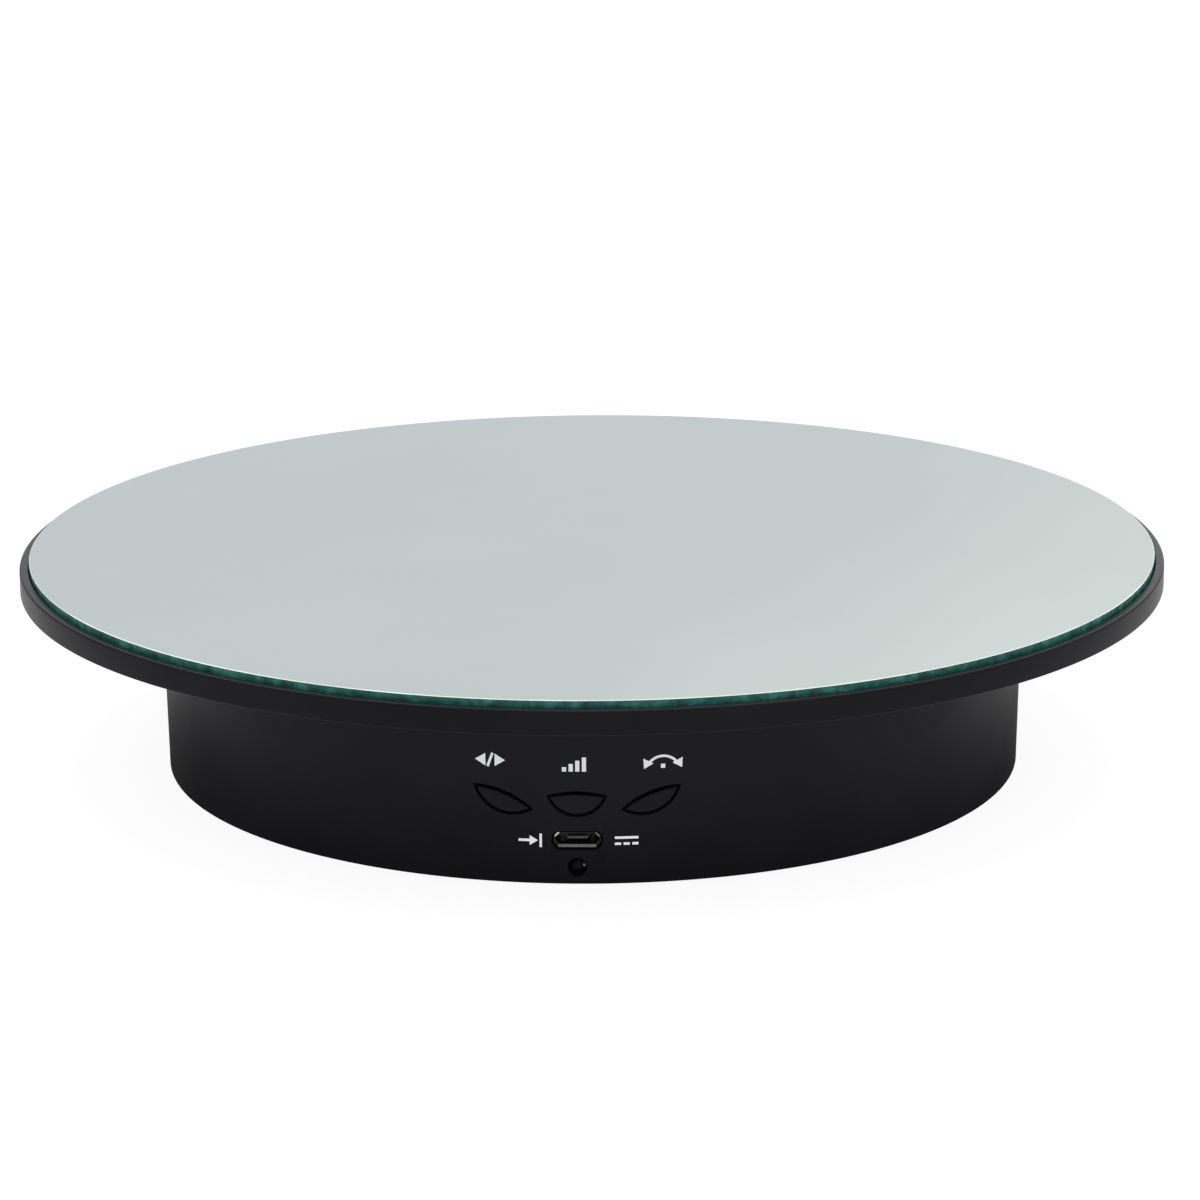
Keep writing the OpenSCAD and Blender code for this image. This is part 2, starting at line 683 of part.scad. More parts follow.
// round tube of lead_sides sides along a route that lies level at lead_z
module lead(offset) {
    route = lead_route(offset);
    n = lead_sides;
    last = len(route) - 1;
    points = [for (p = route, j = [0 : n - 1]) let(t = 360 / n * j)
        [p[0] + lead_r * cos(t) * cos(p[2]), p[1] + lead_r * cos(t) * sin(p[2]), lead_z + lead_r * sin(t)]];
    sides = [for (i = [0 : last - 1], j = [0 : n - 1]) let(k = (j + 1) % n)
        [i * n + j, i * n + k, (i + 1) * n + k, (i + 1) * n + j]];
    ends = [[for (j = [n - 1 : -1 : 0]) j], [for (j = [0 : n - 1]) last * n + j]];
    polyhedron(points = points, faces = concat(sides, ends));
}
module motor_leads() {
    color([0.75, 0.25, 0.15])
        for (i = [0 : lead_count - 1]) lead((i - (lead_count - 1) / 2) * lead_pitch);
}
module motor_plug() {
    y0 = board_back + header_floor;
    color([0.93, 0.93, 0.90]) difference() {
        block(lead_shift - plug_size[0] / 2, lead_shift + plug_size[0] / 2, y0, y0 + plug_size[1],
              lead_z - plug_size[2] / 2, lead_z + plug_size[2] / 2);
        for (i = [0 : lead_count - 1]) {
            pin_x = lead_shift + (i - (lead_count - 1) / 2) * pin_pitch;
            block(pin_x - pin_hole_w / 2, pin_x + pin_hole_w / 2, y0 - cut, y0 + pin_len,
                  lead_z - pin_hole_w / 2, lead_z + pin_hole_w / 2);
            bar_y(lead_shift + (i - (lead_count - 1) / 2) * lead_pitch, lead_z,
                  y0 + plug_size[1] - lead_socket, y0 + plug_size[1] + cut, lead_r);
        }
    }
}
module motor_header() {
    half_w = header_size[0] / 2;
    half_h = header_size[2] / 2;
    color([0.93, 0.93, 0.90]) difference() {
        block(lead_shift - half_w, lead_shift + half_w, board_back, board_back + header_size[1],
              lead_z - half_h, lead_z + half_h);
        block(lead_shift - half_w + header_wall, lead_shift + half_w - header_wall,
              board_back + header_floor, board_back + header_size[1] + cut,
              lead_z - half_h + header_wall, lead_z + half_h - header_wall);
        for (i = [0 : lead_count - 1]) {
            pin_x = lead_shift + (i - (lead_count - 1) / 2) * pin_pitch;
            block(pin_x - pin_w / 2, pin_x + pin_w / 2, board_back - cut, board_back + header_size[1],
                  lead_z - pin_w / 2, lead_z + pin_w / 2);
        }
    }
}
module header_pins() {
    color(steel) for (i = [0 : lead_count - 1]) {
        pin_x = lead_shift + (i - (lead_count - 1) / 2) * pin_pitch;
        block(pin_x - pin_w / 2, pin_x + pin_w / 2, board_back,
              board_back + header_floor + pin_len - pin_gap, lead_z - pin_w / 2, lead_z + pin_w / 2);
    }
}

module control_board() {
    color(board_green) difference() {
        block(-board_w / 2, board_w / 2, board_y, board_back, board_z0, board_z0 + board_h);
        for (x = [-board_screw_x, board_screw_x], z = board_screw_z)
            bar_y(x, z, board_y - cut, board_back + cut, m2_hole_r);
    }
}
module board_screws() {
    color(steel) for (x = [-board_screw_x, board_screw_x], z = board_screw_z) difference() {
        union() {
            bar_y(x, z, board_back, board_back + m2_head_h, m2_head_r);
            bar_y(x, z, board_y - m2_reach, board_back, m2_r);
        }
        translate([x, board_back + m2_head_h, z]) rotate([90, 0, 0]) cross_slots(1.2, 0.4, -cut, 0.8, 0);
    }
}
module switch_bodies() {
    half = switch_w / 2;
    color(black_plastic) for (key = KEYS) difference() {
        block(key_press(key)[0] - half, key_press(key)[0] + half, board_y - switch_t, board_y,
              key_press(key)[1] - half, key_press(key)[1] + half);
        bar_y(key_press(key)[0], key_press(key)[1],
              board_y - switch_t - cut, board_y - switch_floor_t, plunger_bore_r);
    }
}
module switch_covers() {
    half = switch_w / 2 - switch_cover_inset;
    y1 = board_y - switch_t;
    color(steel) for (key = KEYS) difference() {
        block(key_press(key)[0] - half, key_press(key)[0] + half, y1 - switch_cover_t, y1,
              key_press(key)[1] - half, key_press(key)[1] + half);
        bar_y(key_press(key)[0], key_press(key)[1], y1 - 2 * cut, y1 + cut, plunger_bore_r);
    }
}
module plunger(key) {
    color([0.55, 0.10, 0.08])
        bar_y(key_press(key)[0], key_press(key)[1],
              plunger_tip_y, board_y - switch_floor_t - plunger_spare - key_travel, plunger_r);
}
module direction_plunger() { plunger(direction_key); }
module speed_plunger() { plunger(speed_key); }
module angle_plunger() { plunger(angle_key); }

// a key: leaf-shaped cap flush with the drum, two tabs behind the wall, and a stem to its switch
module key_body(key) {
    tab_out = wall_t + key_wall_gap;
    z0 = base_z0 + key_low_z;
    z1 = base_z0 + key_high_z;
    tab_reach = 10;
    color(black_plastic) {
        intersection() {
            leaf(key, -base_r - cut, board_y, 0);
            difference() {
                drum(z0, z1, 0);
                drum(z0 - cut, z1 + cut, tab_out + key_tab_t);
            }
        }
        intersection() {
            leaf(key, -base_r - cut, board_y, key_tab_grow);
            difference() {
                drum(z0, z1, tab_out);
                drum(z0 - cut, z1 + cut, tab_out + key_tab_t);
            }
            translate([key[0], 0, key_z(key)]) rotate([0, -key[2], 0])
                block(-key_tab_half_w, key_tab_half_w, -base_r, board_y, -tab_reach, tab_reach);
        }
        intersection() {
            bar_y(key_press(key)[0], key_press(key)[1], -base_r, plunger_tip_y, stem_r);
            drum(z0, z1, tab_out);
        }
    }
}
module direction_button() { key_body(direction_key); }
module speed_button() { key_body(speed_key); }
module angle_button() { key_body(angle_key); }

module usb_shell() {
    color(steel) difference() {
        usb_prism(usb_mouth_y, board_y, 0);
        usb_prism(usb_mouth_y - cut, board_y - usb_back_t, -usb_shell_t);
    }
}
module usb_tongue() {
    z = base_z0 + usb_z + usb_tongue_rise;
    y1 = board_y - usb_back_t;
    color([0.15, 0.15, 0.16])
        block(-usb_tongue_w / 2, usb_tongue_w / 2, y1 - usb_tongue_len, y1,
              z - usb_tongue_t / 2, z + usb_tongue_t / 2);
}
module usb_contacts() {
    z1 = base_z0 + usb_z + usb_tongue_rise - usb_tongue_t / 2;
    y1 = board_y - usb_back_t;
    color(gold) for (i = [-usb_contact_side : usb_contact_side])
        block(i * usb_contact_pitch - usb_contact_w / 2, i * usb_contact_pitch + usb_contact_w / 2,
              y1 - usb_tongue_len + usb_contact_setback, y1, z1 - usb_contact_t, z1);
}
module power_led() {
    z = base_z0 + led_z;
    dome_y = led_tip_y + led_r;
    body_y = dome_y + led_body_len;
    color([0.85, 0.86, 0.84]) {
        translate([0, dome_y, z]) sphere(r = led_r);
        bar_y(0, z, dome_y, body_y, led_r);
        bar_y(0, z, body_y - led_flange_t, body_y, led_flange_r);
        for (x = [-led_lead_pitch / 2, led_lead_pitch / 2])
            bar_y(x, z, body_y - led_lead_root, board_y, led_lead_r);
    }
}
// a chip on the back of the board
module chip(box) {
    color(black_plastic) block(box[0], box[1], board_back, board_back + box[4], box[2], box[3]);
}
module driver_chip() { chip(driver_chip_box); }
module controller_chip() { chip(controller_chip_box); }
module smoothing_capacitor() {
    color([0.10, 0.12, 0.25])
        bar_y(capacitor_at[0], capacitor_at[1], board_back, board_back + capacitor_len, capacitor_r);
}

mirror_glass();
mirror_tape();
platter();
drive_gear();
gear_screws();
spindle();
upper_race();
spindle_washer();
retaining_clip();
ball_cage();
bearing_balls();
lower_race();
spindle_bush();
base_housing();
bottom_cover();
rubber_feet();
cover_screws();
motor_case();
motor_core();
motor_wire_cap();
motor_screws();
motor_nuts();
motor_shaft();
pinion();
motor_leads();
motor_plug();
motor_header();
header_pins();
control_board();
board_screws();
switch_bodies();
switch_covers();
direction_plunger();
speed_plunger();
angle_plunger();
direction_button();
speed_button();
angle_button();
usb_shell();
usb_tongue();
usb_contacts();
power_led();
driver_chip();
controller_chip();
smoothing_capacitor();
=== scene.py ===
import json
import math

import bmesh
import bpy
from mathutils import Matrix, Vector


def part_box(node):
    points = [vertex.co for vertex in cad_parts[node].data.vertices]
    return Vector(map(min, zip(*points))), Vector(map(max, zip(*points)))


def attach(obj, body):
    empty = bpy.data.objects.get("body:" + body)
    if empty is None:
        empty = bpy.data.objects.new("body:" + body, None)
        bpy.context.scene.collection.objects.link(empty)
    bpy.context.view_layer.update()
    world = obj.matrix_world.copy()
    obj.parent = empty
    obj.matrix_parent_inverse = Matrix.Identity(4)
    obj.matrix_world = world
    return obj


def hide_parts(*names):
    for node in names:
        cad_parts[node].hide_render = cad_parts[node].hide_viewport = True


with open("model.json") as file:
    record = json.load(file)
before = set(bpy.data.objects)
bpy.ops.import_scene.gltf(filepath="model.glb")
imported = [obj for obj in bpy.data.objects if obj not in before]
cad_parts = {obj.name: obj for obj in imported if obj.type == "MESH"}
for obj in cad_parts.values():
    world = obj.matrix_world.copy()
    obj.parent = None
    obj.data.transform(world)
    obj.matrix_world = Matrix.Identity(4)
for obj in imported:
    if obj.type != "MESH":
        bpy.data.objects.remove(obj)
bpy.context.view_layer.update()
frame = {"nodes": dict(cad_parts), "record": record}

# Motorised turntable display stand: a mirror-topped platter over a round drum base, around the packed
# CAD frame. Metres, +Z up, the control keys face -Y.

NODES = frame["nodes"]
MM = 0.001

# ---------------------------------------------------------------- sizes, from the frame where it has them
PLATTER_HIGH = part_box("platter")[1]
PLATTER_R = PLATTER_HIGH.x
LEDGE_Z = PLATTER_HIGH.z
PLATTER_EDGE = 4.1 * MM
PLATTER_Z0 = LEDGE_Z - PLATTER_EDGE
GLASS_LOW, GLASS_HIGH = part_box("mirror_glass")
MIRROR_R = GLASS_HIGH.x
RECESS_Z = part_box("mirror_tape")[0].z
PLATE_T = 1.6 * MM
PLATE_Z0 = RECESS_Z - PLATE_T
HUB_Z0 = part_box("platter")[0].z
RACE_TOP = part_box("upper_race")[1].z
GEAR_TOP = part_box("drive_gear")[1].z

HOUSING_LOW, HOUSING_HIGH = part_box("base_housing")
BASE_R = HOUSING_HIGH.x
BASE_Z0 = HOUSING_LOW.z
DECK_Z = HOUSING_HIGH.z
DRAFT = 0.6 * MM
WALL = 2.2 * MM
WELL_R = 62 * MM
WELL_DEPTH = 6 * MM
FLOOR_Z = DECK_Z - WELL_DEPTH
FLOOR_Z0 = FLOOR_Z - WALL
BOSS_Z0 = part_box("spindle_bush")[0].z
BUSH_R = 5.5 * MM
BOSS_R = 8 * MM
POST_AT = 66 * MM
POST_Z0 = BASE_Z0 + 3.6 * MM
BOARD_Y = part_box("control_board")[0].y
LATHE_STEPS = 360
LEVEL = 0.9999  # a normal's z above which a face counts as level

# keys: middle of the chord x, height above the drum's edge, tilt, chord, rise above, drop below (mm, degrees)
KEY_SHAPES = {
    "direction": (-11.95, 14.6, -22, 10.2, 1.0, 2.65),
    "speed": (0.0, 15.0, 0, 9.6, 0.75, 3.45),
    "angle": (11.95, 14.6, 22, 10.2, 1.0, 2.65),
}
KEY_GAP = 0.3  # mm between a CAD key and its window
KEY_SLIM = 0.25  # mm that a visual key is slimmer all round
KEY_DROP = 0.32 * MM  # how much lower a visual key's upper edge is
KEY_SINK = 0.25 * MM  # how far its face lies under the drum's surface
USB_LOW, USB_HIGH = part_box("usb_shell")
USB_Z = (USB_LOW.z + USB_HIGH.z) / 2
USB_LIFT = 0.4 * MM  # how much higher the visual socket's bottom is
LED_LOW, LED_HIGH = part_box("power_led")
LED_Z = (LED_LOW.z + LED_HIGH.z) / 2
LED_R = 1.5 * MM
FOOT_R = 6 * MM
FOOT_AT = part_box("rubber_feet")[1].x - FOOT_R
SCREW_LOW, SCREW_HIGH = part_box("cover_screws")
SCREW_HEAD_R = 2.8 * MM
SCREW_AT = math.hypot(SCREW_HIGH.x - SCREW_HEAD_R, SCREW_HIGH.y - SCREW_HEAD_R)


# ---------------------------------------------------------------- mesh helpers
def smooth(mesh, sharp=35):
    """Smooth shading, except across edges sharper than sharp degrees and on level faces, which stay flat."""
    mesh.shade_smooth()
    mesh.set_sharp_from_angle(angle=math.radians(sharp))
    for face in mesh.polygons:
        if abs(face.normal.z) > LEVEL:
            face.use_smooth = False


def finish_mesh(name, bm, material, sharp=35):
    """An object from bm with outward normals, smooth except across edges sharper than sharp degrees."""
    bmesh.ops.recalc_face_normals(bm, faces=bm.faces)
    mesh = bpy.data.meshes.new(name)
    bm.to_mesh(mesh)
    bm.free()
    obj = bpy.data.objects.new(name, mesh)
    bpy.context.scene.collection.objects.link(obj)
    mesh.materials.append(material)
    smooth(mesh, sharp)
    return obj


def rounded(corners, steps=5):
    """Closed outline: each corner is (a, b, fillet), and a fillet above 0 becomes an arc of that radius."""
    out = []
    for i, (a, b, fillet) in enumerate(corners):
        here = Vector((a, b))
        before = Vector(corners[i - 1][:2]) - here
        after = Vector(corners[(i + 1) % len(corners)][:2]) - here
        if fillet <= 0:
            out.append(here)
            continue
        u, v = before.normalized(), after.normalized()
        half = u.angle(v) / 2
        centre = here + (u + v).normalized() * fillet / math.sin(half)
        start = here + u * fillet / math.tan(half) - centre
        end = here + v * fillet / math.tan(half) - centre
        first = math.atan2(start.y, start.x)
        sweep = (math.atan2(end.y, end.x) - first + math.pi) % (2 * math.pi) - math.pi
        for k in range(steps + 1):
            t = first + sweep * k / steps
            out.append(centre + Vector((math.cos(t), math.sin(t))) * fillet)
    return out


def revolve(bm, outline, steps=LATHE_STEPS):
    """Adds the solid that a closed (radius, height) outline sweeps about Z."""
    rings = []
    for p in outline:
        if p[0] < 1e-9:
            rings.append([bm.verts.new((0, 0, p[1]))])
        else:
            turn = [2 * math.pi * k / steps for k in range(steps)]
            rings.append([bm.verts.new((p[0] * math.cos(t), p[0] * math.sin(t), p[1])) for t in turn])
    for ring, following in zip(rings, rings[1:] + rings[:1]):
        if len(ring) == 1 and len(following) == 1:
            continue
        for k in range(steps):
            j = (k + 1) % steps
            corners = {
                ring[k % len(ring)]: None, ring[j % len(ring)]: None,
                following[j % len(following)]: None, following[k % len(following)]: None,
            }
            bm.faces.new(list(corners))


def loft(bm, rings):
    """Adds the skin over rings of points, all with the same count, and flat caps on its ends."""
    made = [[bm.verts.new(p) for p in ring] for ring in rings]
    for lower, upper in zip(made, made[1:]):
        for k in range(len(lower)):
            j = (k + 1) % len(lower)
            bm.faces.new((lower[k], lower[j], upper[j], upper[k]))
    bm.faces.new(list(reversed(made[0])))
    bm.faces.new(made[-1])


def add(bm, part, matrix):
    """Moves the finished shape part by matrix and adds it to bm."""
    mesh = bpy.data.meshes.new("part")
    part.to_mesh(mesh)
    part.free()
    mesh.transform(matrix)
    bm.from_mesh(mesh)
    bpy.data.meshes.remove(mesh)


def turned(bm, outline, at, axis="Z", steps=48):
    """A small revolved solid whose own +Z points along axis, with its origin at the point at."""
    part = bmesh.new()
    revolve(part, outline, steps)
    aim = {"Z": Matrix.Identity(4), "-Y": Matrix.Rotation(math.radians(90), 4, "X")}[axis]
    add(bm, part, Matrix.Translation(at) @ aim)


def rod(bm, at, radius, length, bevel, steps=48):
    """A round bar from at towards -Y, with rounded end edges."""
    outline = rounded([(0, 0, 0), (radius, 0, bevel), (radius, length, bevel), (0, length, 0)], 3)
    turned(bm, outline, at, "-Y", steps)


def collar(bore, outer, low, high, bore_bevel, bevel):
    """Outline of a ring from low to high, with its lower edges rounded."""
    return rounded([(bore, low, bore_bevel), (outer, low, bevel), (outer, high, 0), (bore, high, 0)], 3)


def slab(bm, low, high, bevel, matrix=Matrix.Identity(4)):
    """A box with rounded edges between two corners, then moved by matrix."""
    part = bmesh.new()
    size = Vector(high) - Vector(low)
    bmesh.ops.create_cube(part, size=1.0)
    middle = Matrix.Translation((Vector(high) + Vector(low)) / 2)
    bmesh.ops.transform(part, verts=part.verts, matrix=middle @ Matrix.Diagonal((*size, 1.0)))
    bmesh.ops.bevel(part, geom=part.edges[:], offset=bevel, segments=2, affect="EDGES", profile=0.5)
    add(bm, part, matrix)


def spin(angle):
    """A turn about Z by angle degrees."""
    return Matrix.Rotation(math.radians(angle), 4, "Z")


def boolean(obj, cutter, operation="DIFFERENCE"):
    """Applies cutter to obj exactly and removes it."""
    modifier = obj.modifiers.new("cut", "BOOLEAN")
    modifier.operation = operation
    modifier.solver = "EXACT"
    modifier.object = cutter
    graph = bpy.context.evaluated_depsgraph_get()
    mesh = bpy.data.meshes.new_from_object(obj.evaluated_get(graph))
    obj.modifiers.clear()
    old = obj.data
    obj.data = mesh
    bpy.data.meshes.remove(old)
    bpy.data.objects.remove(cutter)
    smooth(mesh)


def around(count, radius, start):
    """Points at equal angles on a circle, as (x, y)."""
    turn = [math.radians(start + 360 / count * i) for i in range(count)]
    return [(radius * math.cos(t), radius * math.sin(t)) for t in turn]


def piece(obj, body, slot, *nodes):
    """Makes obj ride on a CAD body, standing for the named CAD nodes, which it hides; slot is not used."""
    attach(obj, body)
    if nodes:
        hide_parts(*nodes)


# ---------------------------------------------------------------- shapes on the drum's surface
def drum_y(x, z):
    """Y of the drum's outside at x and z, in metres."""
    r = BASE_R - DRAFT * (DECK_Z - z) / (DECK_Z - BASE_Z0)
    return -math.sqrt(r * r - x * x)


def arc_radius(chord, rise):
    """Radius of the arc that rises this much over this chord."""
    return (chord * chord / 4 + rise * rise) / (2 * rise)


def leaf(shape, grow=0.0, scale=1.0):
    """A key's leaf outline as (x, z) in metres: two arcs, each moved outwards by grow mm."""
    steps = 20
    x0, z0, tilt, chord, rise, drop = shape
    low_r, high_r = arc_radius(chord, drop), arc_radius(chord, rise)
    low_c, high_c = low_r - drop, rise - high_r
    ra, rb = low_r + grow, high_r + grow
    tip_y = (ra * ra - rb * rb - low_c * low_c + high_c * high_c) / (2 * (high_c - low_c))
    tip_x = math.sqrt(ra * ra - (tip_y - low_c) ** 2)
    low_a = math.asin(tip_x / ra)
    high_a = math.asin(tip_x / rb)
    points = []
    for k in range(steps):
        t = -low_a + 2 * low_a * k / steps
        points.append((ra * math.sin(t), low_c - ra * math.cos(t)))
    for k in range(steps):
        t = high_a - 2 * high_a * k / steps
        points.append((rb * math.sin(t), high_c + rb * math.cos(t)))
    middle = (rise - drop) / 2
    c, s = math.cos(math.radians(tilt)), math.sin(math.radians(tilt))
    out = []
    for u, v in points:
        u, v = u * scale, middle + (v - middle) * scale
        out.append(((x0 + u * c - v * s) * MM, BASE_Z0 + (z0 + u * s + v * c) * MM))
    return out


def lower_top(outline, amount):
    """A leaf's outline with its upper arc up to amount metres lower and its lower arc and tips kept."""
    half = len(outline) // 2
    dips = [0] * half + [amount * math.sqrt(math.sin(math.pi * k / half)) for k in range(half)]
    return [(x, z - dip) for (x, z), dip in zip(outline, dips)]


def key_face(shape, shrink, scale=1.0):
    """The outline of a key's cap, shrunk by shrink mm, with a wider gap above it than below."""
    return lower_top(leaf(shape, -KEY_SLIM - shrink, scale), KEY_DROP * scale)


def key_press(shape):
    """The point on a key's face above its switch, as (x, z) in metres."""
    x0, z0, tilt, _, rise, drop = shape
    down = (drop - rise) / 2
    a = math.radians(tilt)
    return (x0 + down * math.sin(a)) * MM, BASE_Z0 + (z0 - down * math.cos(a)) * MM


def usb_outline(grow, sill=0.0):
    """The socket's outline as (x, z): bevelled corners, sides leaning in, bottom edge raised by sill."""
    w = USB_HIGH.x + grow
    low, high = USB_LOW.z + USB_LIFT + sill - grow, USB_HIGH.z + grow
    bevel = 0.9 * MM
    side = 1.2 * bevel
    notch = 0.65 * MM
    lean = 0.15 * MM
    r = max(0.1 * MM, 0.25 * MM + grow)
    corners = [
        (-w + bevel, low, r), (w - bevel, low, r), (w, low + side, r), (w - lean, high - notch, r),
        (w - lean - notch, high, r), (-w + lean + notch, high, r), (-w + lean, high - notch, r),
        (-w, low + side, r),
    ]
    return [tuple(p) for p in rounded(corners, 3)]


def on_drum(outline, depth):
    """Outline points laid on the drum, depth metres under its surface."""
    return [(x, drum_y(x, z) + depth, z) for x, z in outline]


def on_plane(outline, y):
    """Outline points on the upright plane at y."""
    return [(x, y, z) for x, z in outline]


# ---------------------------------------------------------------- materials
def link(tree, a, output, b, socket):
    """Joins node a's output to node b's socket."""
    tree.links.new(a.outputs[output], b.inputs[socket])


def shade(
    name, colour, roughness, metallic=0.0, specular=0.5, vary=0.15, vary_scale=60.0,
    grain=0.0, grain_scale=3000.0, rough_vary=0.06, second=None, extras=None,
):
    """A principled material: colour and roughness clouded, and a fine grain in the bump."""
    material = bpy.data.materials.new(name)
    material.use_nodes = True
    tree = material.node_tree
    bsdf = tree.nodes["Principled BSDF"]
    bsdf.inputs["Metallic"].default_value = metallic
    bsdf.inputs["Specular IOR Level"].default_value = specular
    where = tree.nodes.new("ShaderNodeTexCoord")
    clouds = tree.nodes.new("ShaderNodeTexNoise")
    clouds.inputs["Scale"].default_value = vary_scale
    clouds.inputs["Detail"].default_value = 5.0
    link(tree, where, "Object", clouds, "Vector")
    second = second or tuple(c * (1 - vary) for c in colour)
    ramp = tree.nodes.new("ShaderNodeValToRGB")
    ramp.color_ramp.elements[0].position = 0.35
    ramp.color_ramp.elements[0].color = (*second, 1)
    ramp.color_ramp.elements[1].position = 0.65
    ramp.color_ramp.elements[1].color = (*colour, 1)
    link(tree, clouds, "Fac", ramp, "Fac")
    link(tree, ramp, "Color", bsdf, "Base Color")
    rough = tree.nodes.new("ShaderNodeMapRange")
    rough.inputs["To Min"].default_value = max(0.0, roughness - rough_vary)
    rough.inputs["To Max"].default_value = min(1.0, roughness + rough_vary)
    link(tree, clouds, "Fac", rough, "Value")
    link(tree, rough, "Result", bsdf, "Roughness")
    bump = None
    if grain > 0:
        speckle = tree.nodes.new("ShaderNodeTexNoise")
        speckle.inputs["Scale"].default_value = grain_scale
        speckle.inputs["Detail"].default_value = 3.0
        link(tree, where, "Object", speckle, "Vector")
        bump = tree.nodes.new("ShaderNodeBump")
        bump.inputs["Strength"].default_value = grain
        bump.inputs["Distance"].default_value = 0.02 * MM
        link(tree, speckle, "Fac", bump, "Height")
        link(tree, bump, "Normal", bsdf, "Normal")
    if extras:
        extras(tree, bsdf, where, ramp, bump)
    return material


def banded(scale, distance, rings=False):
    """Extra bump of fine level bands, or of rings about Z, as turning or winding leaves."""
    def extras(tree, bsdf, where, ramp, bump):
        wave = tree.nodes.new("ShaderNodeTexWave")
        wave.wave_type = "RINGS" if rings else "BANDS"
        if rings:
            wave.rings_direction = "Z"
        else:
            wave.bands_direction = "Z"
        wave.inputs["Scale"].default_value = scale
        wave.inputs["Distortion"].default_value = 0.4
        ridge = tree.nodes.new("ShaderNodeBump")
        ridge.inputs["Strength"].default_value = 0.5
        ridge.inputs["Distance"].default_value = distance
        link(tree, where, "Object", wave, "Vector")
        link(tree, wave, "Fac", ridge, "Height")
        if bump:
            link(tree, bump, "Normal", ridge, "Normal")
        link(tree, ridge, "Normal", bsdf, "Normal")
    return extras


def glass_patches(tree, bsdf, where, ramp, bump):
    """Ground glass edge: a few pale chips and darker stretches in the green."""
    ramp.color_ramp.elements[0].position = 0.32
    ramp.color_ramp.elements[1].position = 0.52
    ramp.color_ramp.elements.new(0.68).color = (0.036, 0.18, 0.148, 1)


def board_tracks(tree, bsdf, where, ramp, bump):
    """Copper tracks under the solder mask: a lighter green where a brick pattern's joints run."""
    bricks = tree.nodes.new("ShaderNodeTexBrick")
    bricks.inputs["Scale"].default_value = 260
    bricks.inputs["Mortar Size"].default_value = 0.07
    bricks.inputs["Color1"].default_value = (0.010, 0.085, 0.045, 1)
    bricks.inputs["Color2"].default_value = (0.012, 0.095, 0.05, 1)
    bricks.inputs["Mortar"].default_value = (0.03, 0.19, 0.09, 1)
    flat = tree.nodes.new("ShaderNodeMapping")
    flat.inputs["Rotation"].default_value = (math.radians(90), 0, 0)
    link(tree, where, "Object", flat, "Vector")
    link(tree, flat, "Vector", bricks, "Vector")
    link(tree, bricks, "Color", bsdf, "Base Color")


def painted_foot_shade(tree, bsdf, where, ramp, bump):
    """Satin drum that dulls towards the table and darkens there; the darkening is painted shade."""
    split = tree.nodes.new("ShaderNodeSeparateXYZ")
    height = tree.nodes.new("ShaderNodeMapRange")
    height.inputs["From Max"].default_value = DECK_Z
    blend = tree.nodes.new("ShaderNodeMath")
    blend.operation = "MULTIPLY_ADD"
    blend.inputs[1].default_value = 0.3
    dulling = tree.nodes.new("ShaderNodeMapRange")
    dulling.inputs["From Min"].default_value = 0.25
    dulling.inputs["From Max"].default_value = 1.15
    dulling.inputs["To Min"].default_value = 0.90
    dulling.inputs["To Max"].default_value = 0.10
    ramp.color_ramp.elements[0].position = 0.15
    ramp.color_ramp.elements[1].position = 0.85
    clouds = ramp.inputs["Fac"].links[0].from_node
    link(tree, where, "Object", split, "Vector")
    link(tree, split, "Z", height, "Value")
    link(tree, clouds, "Fac", blend, 0)
    link(tree, height, "Result", blend, 2)
    link(tree, blend, "Value", ramp, "Fac")
    link(tree, blend, "Value", dulling, "Value")
    link(tree, dulling, "Result", bsdf, "Roughness")


BLACK = (0.0094, 0.0089, 0.0110)
DRUM_TOP = (0.0156, 0.0147, 0.0178)
# painted shade: the colour the drum darkens to towards the table
DRUM_FOOT_SHADE = (0.0053, 0.0051, 0.0061)
